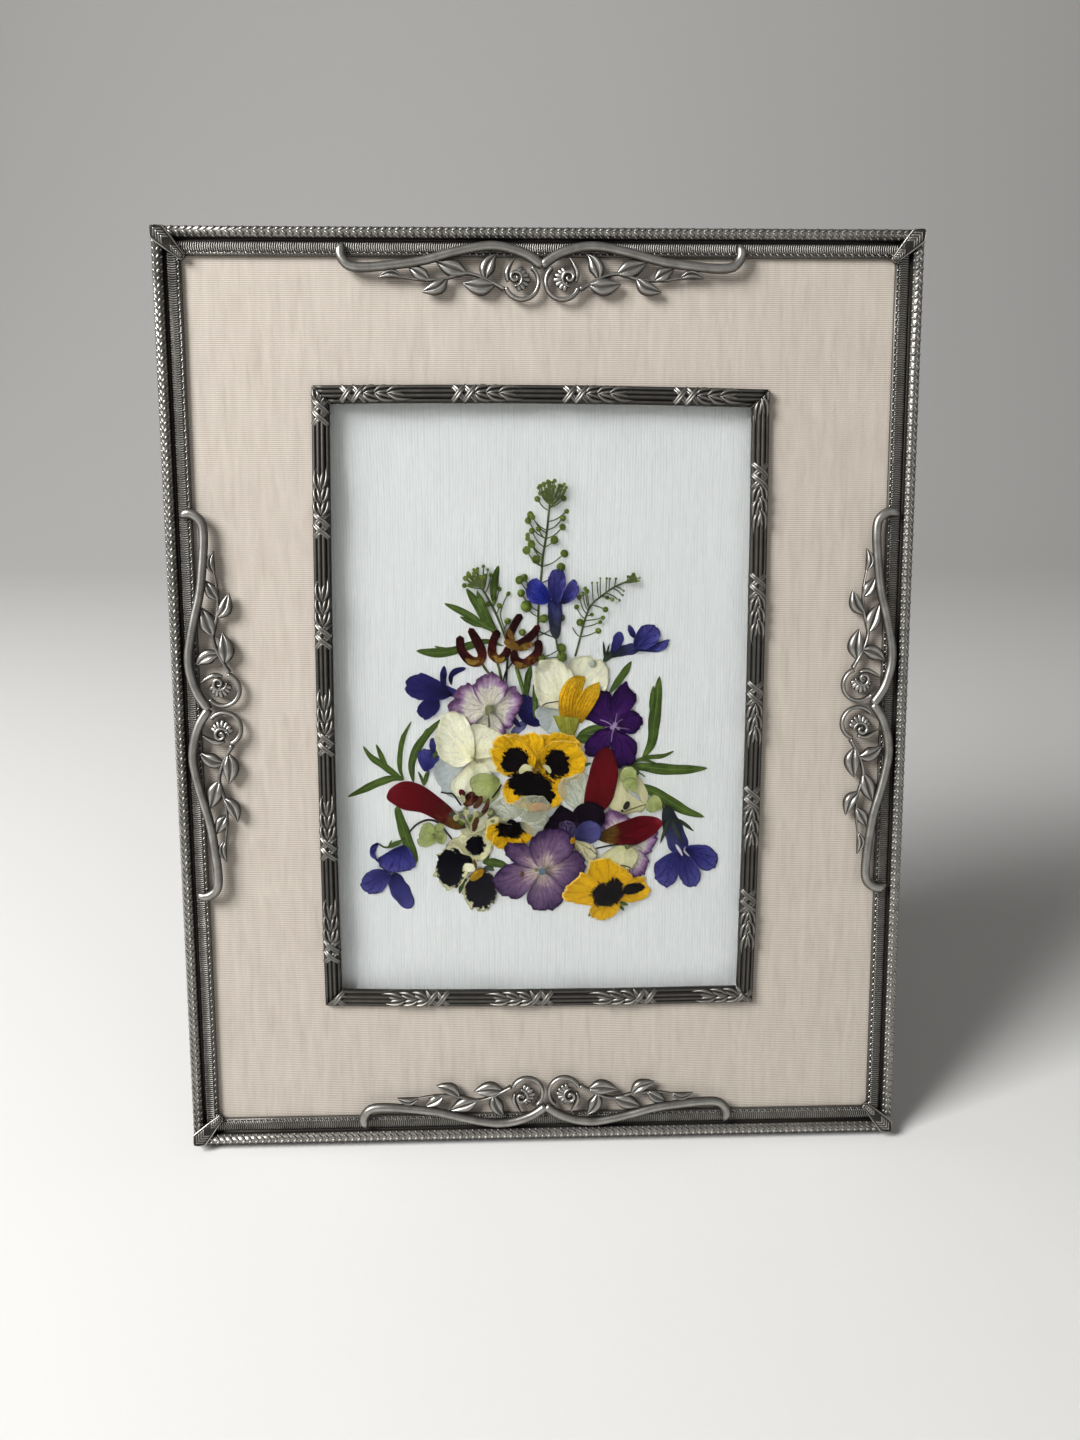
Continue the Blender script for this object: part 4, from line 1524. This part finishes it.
    "pansy_yellow_lower": """
shape yellow_petal: 22,-58 18,-55 17.4,-60.4 20.4,-62.4 25.4,-61.6 28.2,-58 26,-54;
leaf leaf_green 1.1: 24.4,-60.6 25.8,-61.2 27,-61.5;
leaf 1: 24,-61.4 25,-62.4 25.7,-63.4;
leaf 1.1: 16.4,-63 15.6,-64.2 14.8,-65.2;
shape yellow_petal: 22,-58 17,-56 14,-52.5 15.4,-48 18.4,-46.6 21.4,-47.2 24.6,-49.2 27.6,-51.4 28.4,-54.6 25.6,-57
| 21.5,-58 18,-54.6 13.4,-51.2 10.6,-53.2 7.6,-56.2 6.6,-58.6 9,-60.6 13.4,-61.4 17.4,-62 20,-60 | 23,-57.8 25.6,-55
29,-52.6 32,-53 32.6,-55 33.8,-57.2 32.4,-59.4 29,-60.6 25.6,-60.2 | 21.4,-58.6 18,-60.4 15.2,-62.4 15.6,-65
18.4,-66.4 21.6,-65.6 24,-63.2 23.8,-60.4;
leaf 1.4: 22.8,-59.4 23.6,-60.6 24.2,-62""",
}

# Dark blotches: middle, half width, half height and turn of each.
BLOTCHES = {
    "pansy_yellow_large": [
        (-7.7, -16.8, 4.1, 4.0, -15), (4.9, -17.6, 3.8, 4.3, 10),
        (-3.2, -23.8, 7.2, 4.1, -10), (-0.4, -26.8, 4.6, 3.4, -25),
    ],
    "pansy_yellow_small": [(-8.8, -37.2, 4.4, 3.3, 0)],
    "pansy_yellow_lower": [(20.0, -58.2, 4.3, 3.8, 0), (22.6, -57.0, 3.0, 3.7, 0), (28.2, -56.4, 3.6, 1.7, 10)],
    "viola_cream": [
        (-27.3, -49.6, 4.4, 6.1, 5), (-19.6, -42.6, 2.9, 3.2, 0),
        (-18.0, -56.0, 4.8, 6.4, 0), (-22.4, -47.0, 2.2, 1.3, -30),
    ],
}
NO_BLOTCH = 9.0
# How ragged the rims of some petals are, against the others.
RAGGED = {"cream_blotched": 2.6, "yellow_petal": 1.4, "violet_edge": 1.5, "mauve_petal": 1.3}

OPENING = (62.0, 72.0)
CELL = 0.4


class Bouquet:
    """Lays flat pieces over each other, and remembers how high the heap is at every place."""

    def __init__(self):
        self.heap = np.full([int(2 * half / CELL) + 1 for half in OPENING], CARD_TOP)

    def cover(self):
        """A smooth sheet over the heap that touches it nowhere from below."""
        field = self.heap
        for axis in (0, 1):
            field = np.max([np.roll(field, shift, axis) for shift in (-2, -1, 0, 1, 2)], axis=0)
        for _ in range(2):
            for axis in (0, 1):
                field = np.mean([np.roll(field, shift, axis) for shift in (-1, 0, 1)], axis=0)
        return field

    def place(self, points, thickness, rise):
        """Heights of the upper side of a piece that lies on the heap."""
        field = self.cover()
        at = (points + OPENING) / CELL
        low = np.clip(np.floor(at).astype(int), 0, np.array(field.shape) - 2)
        part = at - low
        i, j = low[..., 0], low[..., 1]
        u, v = part[..., 0], part[..., 1]
        rest = (field[i, j] * (1 - u) + field[i + 1, j] * u) * (1 - v)
        rest += (field[i, j + 1] * (1 - u) + field[i + 1, j + 1] * u) * v
        return np.minimum(rest + thickness + rise + 0.02, PANE_UNDERSIDE - 0.12)

    def stamp(self, points, heights):
        """Adds a piece to the heap, from a grid of its points."""
        for a, b in ((0, 0), (1, 0), (0, 1), (1, 1)):
            near, height = points, heights
            if a:
                near, height = ((grid[:-1] + grid[1:]) / 2 for grid in (near, height))
            if b:
                near, height = ((grid[:, :-1] + grid[:, 1:]) / 2 for grid in (near, height))
            cell = np.rint((near + OPENING) / CELL).astype(int)
            np.maximum.at(self.heap, (cell[..., 0], cell[..., 1]), height)


class Sheaf:
    """Collects the parts of one flower: points, faces, finishes, and grain and blotch values."""

    def __init__(self, blotches):
        self.verts, self.faces, self.grain, self.marks, self.slots = [], [], [], [], []
        self.blotches, self.finishes = blotches, []

    def add(self, finish_name, verts, faces, grain):
        if finish_name not in self.finishes:
            self.finishes.append(finish_name)
        start = len(self.verts)
        self.verts += [tuple(v) for v in verts]
        self.faces += [tuple(i + start for i in face) for face in faces]
        self.grain += [tuple(g) for g in grain]
        self.marks += [self.mark(x, y) for x, y, _ in verts]
        self.slots += [self.finishes.index(finish_name)] * len(faces)

    def mark(self, x, y):
        """Below 1 inside a blotch, and above 1 outside."""
        nearest = NO_BLOTCH
        for cx, cy, half_x, half_y, turn in self.blotches:
            a = math.radians(-turn)
            dx, dy = x - cx, y - cy
            u = (dx * math.cos(a) - dy * math.sin(a)) / half_x
            v = (dx * math.sin(a) + dy * math.cos(a)) / half_y
            nearest = min(nearest, (abs(u) ** 2.3 + abs(v) ** 2.3) ** (1 / 2.3))
        return nearest

    def mesh(self, name):
        made = new_mesh(name, self.verts, self.faces, None, self.grain)
        made.attributes.new("mark", "FLOAT", "POINT").data.foreach_set("value", np.array(self.marks, np.float32))
        made.polygons.foreach_set("material_index", self.slots)
        for finish_name in self.finishes:
            made.materials.append(flower_finish(finish_name))
        return weld(made, 1e-4)


def sheet_faces(rows, columns):
    """Faces of a closed sheet: an upper grid, a lower grid after it, and the rim between them."""
    half = rows * columns
    faces = []
    for a, b, c, d in grid_quads(rows, columns):
        faces += [(a, d, c, b), (half + a, half + b, half + c, half + d)]
    rim = [c for c in range(columns)] + [r * columns + columns - 1 for r in range(1, rows)]
    rim += [(rows - 1) * columns + c for c in range(columns - 2, -1, -1)]
    rim += [r * columns for r in range(rows - 2, 0, -1)]
    for k, a in enumerate(rim):
        b = rim[(k + 1) % len(rim)]
        faces.append((a, b, half + b, half + a))
    return faces


def ripple(points, seed):
    """Gentle uneven waves between 0 and 1."""
    wave = np.zeros(points.shape[:2])
    for index in np.ndindex(wave.shape):
        x, y = points[index]
        wave[index] = noise.noise(Vector((x * 0.22, y * 0.22, seed * 3.7)))
    return 0.5 + 0.5 * wave


def petal_grid(ends, spread, square=0.34, seed=0):
    """Rows from the base outwards and columns round the fan, with an uneven rim."""
    rows, columns = 15, 49
    base, tip = ends
    way = np.array(tip, float) - base
    share = np.linspace(-1, 1, columns)
    turn = share * math.pi * 0.985
    along = ((1 + np.cos(turn)) / 2) ** (0.5 + square * 0.6)
    across = math.sin(math.radians(0.75 * spread)) * np.sign(turn) * np.abs(np.sin(turn)) ** 0.8
    uneven = np.ones(columns)
    for k, size in ((2.0, 0.018), (3.7, 0.02), (6.3, 0.016), (11.0, 0.011), (17.0, 0.007)):
        uneven += size * np.sin(k * turn + seed * (k + 1.3))
    out = (np.linspace(0, 1, rows) ** 0.85)[:, None] * uneven
    x = base[0] + out * (along * way[0] - across * way[1])
    y = base[1] + out * (along * way[1] + across * way[0])
    out = out / uneven
    grain = np.stack(np.broadcast_arrays(out, (share * 0.5 + 0.5)[None, :]), -1)
    return np.stack([x, y], -1), grain


def shape_grid(rim, ragged):
    """Rows from the base, the first point, out to the petal's own rim."""
    rows, columns = 15, 57
    base = rim[0]
    edge = smooth_path([*rim, base], columns)
    turn = np.linspace(0, 2 * math.pi, columns)
    bumps = ((7, 0.012), (13, 0.012), (19, 0.01))
    uneven = 1 + ragged * sum(size * np.sin(k * turn + edge[5, 0] * (k + 1.3)) for k, size in bumps)
    out = (np.linspace(0, 1, rows) ** 0.85)[:, None]
    grid = np.array(base, float) + (out * uneven)[..., None] * (edge - base)[None]
    grain = np.stack(np.broadcast_arrays(out, np.linspace(0, 1, columns)[None, :]), -1)
    return grid, grain


def panel_grid(left, right):
    """Rows along two edges and columns from one to the other."""
    rows, columns = 34, 15
    a, b = smooth_path(left, rows), smooth_path(right, rows)
    across = np.linspace(0, 1, columns)
    grid = a[:, None] * (1 - across)[None, :, None] + b[:, None] * across[None, :, None]
    along = np.linspace(0, 1, rows)
    return grid, np.stack(np.broadcast_arrays(along[:, None], across[None, :]), -1)


def leaf_grid(spine, width, peak=0.45, blunt=0.6):
    """Rows along the spine and columns across the blade."""
    rows, columns = 30, 9
    path = smooth_path(spine, rows)
    side = sideways(path)
    t = np.linspace(0, 1, rows)
    swell = np.where(t < peak, t / peak, (1 - t) / (1 - peak))
    half = width / 2 * np.sin(np.clip(swell, 0, 1) * math.pi / 2) ** blunt
    half *= 1 + 0.05 * np.sin(t * 17 + path[0][0])
    across = np.linspace(-1, 1, columns)
    grid = path[:, None] + side[:, None] * (half[:, None] * across[None, :])[..., None]
    return grid, np.stack(np.broadcast_arrays(t[:, None], (across * 0.5 + 0.5)[None, :]), -1)


def lay_sheet(bouquet, sheaf, finish_name, points, grain, thickness, wave, seed):
    """A thin closed sheet over the heap, rippled most towards its rim."""
    out = grain[..., 0] ** 2
    curl = 0.3 * wave * grain[..., 0] ** 8
    rise = wave * ripple(points, seed) * (0.3 + 0.9 * out) + curl
    top = bouquet.place(points, thickness, rise)
    bouquet.stamp(points, top)
    upper = np.concatenate([points, top[..., None]], -1).reshape(-1, 3)
    lower = upper - (0, 0, thickness)
    faces = sheet_faces(*points.shape[:2])
    flat = grain.reshape(-1, 2)
    sheaf.add(finish_name, np.vstack([upper, lower]), faces, np.vstack([flat, flat]))


def lay_stem(bouquet, sheaf, finish_name, spine, radius):
    """A pressed stem: a little wider than it is high."""
    count = max(8, int(3 * len(spine)))
    path = smooth_path(spine, count)
    width = taper(count, 1.8 * radius, 2 * radius, 1.7 * radius, 0.5)
    rest = bouquet.place(path[None], 0.0, 0.0)[0]
    height = np.minimum(np.full(count, 1.1 * radius), PANE_UNDERSIDE - 0.06 - rest)
    verts, faces, _ = blade(np.column_stack([path, rest]), width, height, 0.0, 6, 1, 0, (0, 1), 0.0)
    verts = np.array(verts)
    along = np.linspace(0, 1, len(verts))
    sheaf.add(finish_name, verts, faces, np.column_stack([along, along * 0 + 0.5]))
    side = sideways(path)
    band = np.stack([path - side * radius, path, path + side * radius])
    bouquet.stamp(band, np.broadcast_to(rest + height, band.shape[:2]))


def lay_pod(bouquet, sheaf, finish_name, x, y, radius, stretch=1.0, turn=0.0):
    """A flattened bead."""
    around, rings = 14, 5
    a = np.linspace(0, 2 * math.pi, around, endpoint=False)
    c, s = math.cos(math.radians(turn)), math.sin(math.radians(turn))
    ring_x, ring_y = radius * stretch * np.cos(a), radius * np.sin(a) * (1 + 0.05 * np.sin(3 * a))
    edge = np.stack([x + ring_x * c - ring_y * s, y + ring_x * s + ring_y * c], -1)
    rest = float(bouquet.place(np.vstack([edge, [(x, y)]])[None], 0.0, 0.0).max())
    height = min(0.5 * radius + 0.12, PANE_UNDERSIDE - 0.06 - rest)
    verts, grain = [], []
    for k in range(rings):
        level = k / (rings - 1)
        shrink = max(0.06, math.cos(level * math.pi / 2))
        for p in edge:
            z = rest + height * math.sin(level * math.pi / 2)
            verts.append((x + (p[0] - x) * shrink, y + (p[1] - y) * shrink, z))
            grain.append((1 - level, 0.5))
    ends = [tuple(range(around))[::-1], tuple(range((rings - 1) * around, rings * around))]
    sheaf.add(finish_name, verts, ends + ring_quads(rings, around), grain)
    disc = np.stack([edge * f + np.array([x, y]) * (1 - f) for f in (0.05, 0.5, 1.0)])
    bouquet.stamp(disc, np.full(disc.shape[:2], rest + height))


# The maker of each kind of sheet, and how much it waves.
SHEETS = {
    "petal": (petal_grid, 0.34), "shape": (shape_grid, 0.4), "panel": (panel_grid, 0.3), "leaf": (leaf_grid, 0.14),
}


def lay_flower(bouquet, name):
    """The mesh of one flower, laid part by part over what lies there already."""
    sheaf = Sheaf(BLOTCHES.get(name, []))
    thickness = sizes().petal
    for index, (kind, finish_name, given) in enumerate(read_parts(FLOWERS[name])):
        seed = index + len(name)
        more = {"petal": {"seed": seed}, "shape": {"ragged": RAGGED.get(finish_name, 1.0)}}.get(kind, {})
        if kind == "stem":
            lay_stem(bouquet, sheaf, finish_name, *given)
        elif kind == "pod":
            lay_pod(bouquet, sheaf, finish_name, *given)
        else:
            make, wave = SHEETS[kind]
            points, grain = make(*given, **more)
            lay_sheet(bouquet, sheaf, finish_name, points, grain, thickness, wave, seed)
    return sheaf.mesh(name)


BOUQUET = {}


def flower_mesh(name):
    """The mesh of one flower. The whole bouquet is laid once, from the bottom up."""
    if not BOUQUET:
        heap = Bouquet()
        BOUQUET.update({flower: lay_flower(heap, flower) for flower in FLOWERS})
    return BOUQUET[name]


# ---------------------------------------------------------------- flower finishes
def tone(red, green, blue):
    """A colour given as a screen shows it, from 0 to 255."""
    return tuple((c / 255 / 12.92) if c <= 10 else ((c / 255 + 0.055) / 1.055) ** 2.4 for c in (red, green, blue))


def dried_petal(
    name, stops, vein, veins=14, strength=0.4, blotch=None, alpha=None, gloss=0.5, crumple=0.7, mottle=0.4, edge=None
):
    """A dried petal: tones from its base to its rim, forked veins, an uneven blotch and fine wrinkles."""
    p = Paint(name, Specular_IOR_Level=0.035)
    at = p.place(WINDOW)
    along, across, _ = p.parts(p.grain())
    cloud = p.noise(at, 0.3, 5.0, 0.62)
    fine = p.noise(at, 1.3, 4.0, 0.6)
    fibre = p.noise(p.join(along * 2.2, across * 22.0), 1.0, 4.0, 0.65)
    place = along + 0.55 * (cloud - 0.5) + 0.45 * (fibre - 0.5)
    colour = p.ramp(place, stops)
    sway = p.noise(p.join(along * 3.0, across * 5.0), 1.0, 2.0)
    line = p.maths("ABSOLUTE", p.maths("SINE", (across + 0.14 * (sway - 0.5)) * (math.pi * veins)))
    fork = p.maths("ABSOLUTE", p.maths("SINE", (across * 2.0 + 0.7 * (sway - 0.5)) * (math.pi * veins)))
    thin = 1.0 - p.step(line, 0.0, 0.42)
    forked = (1.0 - p.step(fork, 0.0, 0.5)) * p.step(along, 0.35, 0.6)
    veining = p.maths("MAXIMUM", thin, forked * 0.8) * p.step(along, 0.03, 0.2) * p.step(fine, 0.15, 0.5)
    colour = p.mix(veining * strength, colour, vein)
    colour = p.mix(p.step(fine * 0.5 + fibre * 0.5, 0.44, 0.66) * mottle, colour, vein)
    colour = p.mix(p.step(cloud, 0.56, 0.78) * mottle, colour, tuple(0.55 * c for c in vein))
    rim = p.step(along + 0.05 * (fibre - 0.5), 0.94, 0.99)
    colour = p.mix(rim * 0.55, colour, edge or tuple(0.5 * c for c in vein))
    rough = 0.5 + 0.3 * (1 - gloss) + 0.25 * (fine - 0.5)
    wrinkle = 0.7 * fibre + 0.5 * fine + 0.6 * cloud - 0.25 * veining
    if blotch:
        jag = p.noise(at, 0.75, 3.0, 0.7)
        border = p.attribute("mark") + 0.95 * (jag - 0.5) + 0.95 * (fibre - 0.5)
        inside = 1.0 - p.step(border, 0.95, 1.01)
        dark = p.mix(p.step(fine, 0.45, 0.85), blotch, tuple(min(1.0, c * 1.8 + 0.001) for c in blotch))
        colour = p.mix(inside, colour, dark)
        rough = rough + 0.2 * inside
    links = {"Base_Color": colour, "Roughness": rough, "Normal": p.bump(wrinkle, 0.45, crumple)}
    if alpha:
        links["Alpha"] = alpha + 0.4 * (cloud - 0.5) + 0.25 * veining + 0.2 * rim
    return p.done(**links)


def green_part(name, dark, light, rib=0.5, gloss=0.45):
    """A pressed leaf or stalk with a pale midrib and a browned, darker rim."""
    p = Paint(name, Specular_IOR_Level=0.08)
    at = p.place(WINDOW)
    along, across, _ = p.parts(p.grain())
    cloud = p.noise(at, 0.35, 4.0)
    fine = p.noise(at, 3.0, 3.0)
    streak = p.noise(p.join(along * 4.0, across * 16.0), 1.0, 3.0)
    colour = p.mix(p.step(cloud * 0.6 + streak * 0.4, 0.3, 0.7), dark, light)
    off = p.maths("ABSOLUTE", across - 0.5)
    middle = 1.0 - p.step(off, 0.02, 0.09)
    colour = p.mix(middle * rib, colour, tuple(min(1.0, c * 1.5 + 0.02) for c in light))
    colour = p.mix(p.step(off, 0.36, 0.5) * 0.45, colour, tuple(c * 0.5 for c in dark))
    side = p.maths("ABSOLUTE", p.maths("SINE", (along * 9.0 + off * 1.6) * math.pi))
    colour = p.mix((1.0 - p.step(side, 0.0, 0.3)) * 0.18, colour, light)
    colour = p.mix(p.step(fine, 0.6, 0.85) * 0.25, colour, tone(96, 84, 40))
    height = streak * 0.5 + fine * 0.3 - 0.4 * middle
    return p.done(Base_Color=colour, Roughness=0.75 - 0.4 * gloss + 0.2 * (fine - 0.5), Normal=p.bump(height, 0.1, 0.6))


def flower_finish(name):
    """The finish of a petal or of a green part, made once."""
    if name not in FINISHES:
        stops, settings = [], {}
        for word in FLOWER_FINISHES[name].split():
            key, value = word.split(":")
            value = read_numbers(value.split(","))
            if key[0].isdigit():
                stops.append((float(key), tone(*value)))
            else:
                settings[key] = tone(*value) if len(value) == 3 else value[0]
        FINISHES[name] = dried_petal(name, stops, **settings) if stops else green_part(name, **settings)
    return FINISHES[name]


# Tones as a screen shows them. A petal has them by their place from its base, 0, to its rim, 1, and for its veins,
# its outermost edge and its blotches. A green part has a dark and a light tone. The other words differ from the usual.
FLOWER_FINISHES = {
    "leaf_green": "dark:44,64,22 light:84,106,40",
    "leaf_dark": "dark:34,44,34 light:60,72,52",
    "stalk_green": "dark:54,62,32 light:88,96,52 rib:0.2",
    "pod_green": "dark:64,80,24 light:112,130,52 rib:0",
    "dark_stem": "dark:26,26,20 light:52,50,38 rib:0.1",
    "heart_green": "dark:96,98,66 light:142,144,100 rib:0",
    "pale_stalk": "dark:140,138,92 light:196,194,150 rib:0",
    "brown_bud": "dark:62,32,24 light:112,70,42 rib:0.2",
    "calyx_green": "dark:110,112,30 light:166,164,62 rib:0.3",
    "olive_base": "dark:84,30,18 light:140,116,40 rib:0.1",
    "stamen": "dark:118,90,140 light:176,150,190 rib:0",
    "blue_heart": "dark:70,88,108 light:136,152,166 rib:0",
    "pale_spot": "dark:150,158,140 light:190,194,176 rib:0",
    "white_throat": "dark:150,146,170 light:226,224,232 rib:0",
    "lobelia": "0:30,30,78 0.5:52,52,124 1:80,78,152 vein:20,16,62 veins:9 strength:0.75 mottle:0.6",
    "lobelia_deep": "0:22,18,56 0.5:34,30,86 1:50,44,112 vein:14,10,46 strength:0.5",
    "lobelia_bright": "0:20,24,92 0.5:36,46,150 1:74,78,178 vein:12,14,74 strength:0.5",
    "lobelia_pale": "0:60,62,120 0.5:130,130,178 1:58,56,124 vein:30,26,80 strength:0.5",
    "lobelia_tube": "0:50,58,48 0.35:52,56,72 0.75:60,62,110 1:52,52,122 vein:26,28,52 veins:5 strength:0.7",
    "maroon":
        "0:18,5,8 0.34:38,9,12 0.43:70,22,14 0.5:120,88,30 0.57:74,26,14 0.68:38,9,12 1:18,5,8 vein:92,16,16 veins:4 "
        "strength:0.5 gloss:0.8 mottle:0.6",
    "violet_edge":
        "0:164,166,120 0.2:218,216,190 0.6:222,216,202 0.76:176,146,176 0.9:108,62,116 1:66,30,72 vein:132,108,134 "
        "veins:9 strength:0.6 alpha:0.96 crumple:0.5",
    "white_petal":
        "0:218,209,152 0.3:250,245,204 0.7:253,250,222 1:240,236,204 vein:196,200,188 veins:9 strength:0.5 "
        "alpha:0.94 crumple:0.4 edge:168,164,128",
    "grey_petal":
        "0:206,206,188 0.6:204,211,210 1:186,194,196 vein:150,160,162 veins:9 strength:0.5 alpha:0.9 crumple:0.4 "
        "edge:158,160,148",
    "cream_petal":
        "0:198,196,142 0.5:222,218,176 1:212,206,162 vein:186,180,128 veins:10 strength:0.35 alpha:0.94 crumple:0.5",
    "peach_petal": "0:216,176,132 0.5:224,190,150 1:214,196,162 vein:196,140,90 strength:0.4 alpha:0.75",
    "sheer_petal":
        "0:190,196,160 0.5:216,220,196 1:214,214,184 vein:160,168,132 veins:9 strength:0.5 alpha:0.3 crumple:0.5 "
        "edge:222,222,190",
    "green_petal": "0:142,156,78 0.5:178,188,118 1:190,196,138 vein:128,142,70 veins:8 strength:0.4 alpha:0.92",
    "red_petal":
        "0:70,66,24 0.2:100,70,26 0.33:74,6,15 0.7:98,7,20 1:126,26,38 vein:68,5,13 veins:5 strength:0.35 gloss:0.35",
    "red_deep": "0:86,7,15 0.5:102,9,19 1:92,11,19 vein:54,6,11 veins:5 strength:0.35 gloss:0.35",
    "purple_petal": "0:92,62,124 0.25:66,28,94 0.7:56,18,88 1:36,10,56 vein:20,6,36 veins:8 strength:0.6 gloss:0.6",
    "yellow_glossy":
        "0:176,132,18 0.4:232,176,20 1:246,198,46 vein:132,80,6 veins:6 strength:0.85 gloss:1 crumple:1.2 mottle:0.6",
    "yellow_petal":
        "0:206,164,22 0.5:226,172,13 0.85:236,184,22 1:228,168,18 vein:170,116,10 veins:10 strength:0.5 blotch:8,2,5 "
        "gloss:0.7 crumple:1 edge:250,226,120",
    "cream_blotched":
        "0:214,210,160 0.6:226,222,178 1:220,216,176 vein:186,180,132 veins:9 strength:0.3 blotch:6,5,16 gloss:0.5",
    "mauve_petal":
        "0:220,206,178 0.25:192,170,166 0.48:130,104,132 0.8:94,70,106 1:52,32,68 vein:70,48,86 veins:11 "
        "strength:0.55 gloss:0.4 crumple:0.5 edge:38,18,50",
    "black_petal": "0:44,22,56 0.5:29,11,32 1:20,6,22 vein:10,3,14 strength:0.6 gloss:0.6 mottle:0.6",
    "blue_black": "0:90,84,120 0.3:38,28,66 1:28,18,48 vein:130,120,150 veins:6 strength:0.3",
    "slate_petal": "0:44,38,80 0.5:72,70,122 1:80,80,134 vein:52,46,92 veins:9 strength:0.4",
    "striped_petal": "0:226,190,84 0.2:222,214,164 1:212,206,170 vein:56,38,40 veins:5 strength:0.8",
}


def starting(*words):
    """The names of the flowers that start with one of the words."""
    return [name for name in FLOWERS if name.startswith(words)]


class LayFlowers(BuildPiece):
    """Lays one group of like flowers on the card"""

    def build(self):
        for name in self.flowers:
            piece = add_object("pressed_" + name, flower_mesh(name))
            nodes = (name,) if name in frame["nodes"] else ()
            settle(piece, WINDOW, None, "frame", nodes)


class PRESSED_OT_leaves(LayFlowers):
    """Pressed leaves"""

    bl_idname = "pressed.leaves"
    bl_label = "Leaves"
    flowers = starting("leaf")


class PRESSED_OT_cress(LayFlowers):
    """Cress sprays with round pods"""

    bl_idname = "pressed.cress"
    bl_label = "Cress sprays"
    flowers = starting("cress")


class PRESSED_OT_lobelias(LayFlowers):
    """Blue lobelias"""

    bl_idname = "pressed.lobelias"
    bl_label = "Lobelias"
    flowers = starting("lobelia")


class PRESSED_OT_maroon_flowers(LayFlowers):
    """Curled maroon flowers"""

    bl_idname = "pressed.maroon_flowers"
    bl_label = "Maroon flowers"
    flowers = starting("maroon")


class PRESSED_OT_hydrangeas(LayFlowers):
    """Hydrangea florets"""

    bl_idname = "pressed.hydrangeas"
    bl_label = "Hydrangeas"
    flowers = starting("hydrangea")


class PRESSED_OT_pansies(LayFlowers):
    """Pansies and violas"""

    bl_idname = "pressed.pansies"
    bl_label = "Pansies and violas"
    flowers = starting("pansy", "viola")


class PRESSED_OT_red_petals(LayFlowers):
    """Long red petals"""

    bl_idname = "pressed.red_petals"
    bl_label = "Red petals"
    flowers = starting("red")


class PRESSED_OT_purple_flower(LayFlowers):
    """The five-petalled purple flower"""

    bl_idname = "pressed.purple_flower"
    bl_label = "Purple flower"
    flowers = starting("purple")


class PRESSED_OT_loose_petals(LayFlowers):
    """Loose pale petals, green sepals and buds"""

    bl_idname = "pressed.loose_petals"
    bl_label = "Loose petals and buds"
    flowers = (
        "pale_petals_left", "pale_petals_right", "pale_petal_middle", "green_sepals_left", "bud_cluster", "yellow_bud",
    )


PIECES = [
    PRESSED_OT_stage, PRESSED_OT_outer_rails, PRESSED_OT_corner_caps, PRESSED_OT_ornaments,
    PRESSED_OT_window_rails, PRESSED_OT_boards_and_glass, PRESSED_OT_leaves, PRESSED_OT_cress,
    PRESSED_OT_lobelias, PRESSED_OT_maroon_flowers, PRESSED_OT_hydrangeas, PRESSED_OT_pansies,
    PRESSED_OT_red_petals, PRESSED_OT_purple_flower, PRESSED_OT_loose_petals,
]


class PRESSED_PT_sidebar(bpy.types.Panel):
    """Lists the pieces and their sizes and colours"""

    bl_idname = "PRESSED_PT_sidebar"
    bl_label = "Pressed flower frame"
    bl_space_type = "VIEW_3D"
    bl_region_type = "UI"
    bl_category = "Pressed Flowers"

    def draw(self, context):
        for group in (context.scene.pressed_frame_sizes, context.scene.pressed_frame_colours):
            column = self.layout.column(align=True)
            for name in type(group).__annotations__:
                column.prop(group, name)
        column = self.layout.column(align=True)
        for piece in PIECES:
            column.operator(piece.bl_idname)


CLASSES = [PressedFrameSizes, PressedFrameColours, *PIECES, PRESSED_PT_sidebar]


def register():
    for made in CLASSES:
        bpy.utils.register_class(made)
    bpy.types.Scene.pressed_frame_sizes = PointerProperty(type=PressedFrameSizes)
    bpy.types.Scene.pressed_frame_colours = PointerProperty(type=PressedFrameColours)


def unregister():
    del bpy.types.Scene.pressed_frame_sizes
    del bpy.types.Scene.pressed_frame_colours
    for made in reversed(CLASSES):
        bpy.utils.unregister_class(made)


def main():
    register()
    for piece in PIECES:
        group, name = piece.bl_idname.split(".")
        getattr(getattr(bpy.ops, group), name)()


if __name__ == "__main__":
    main()
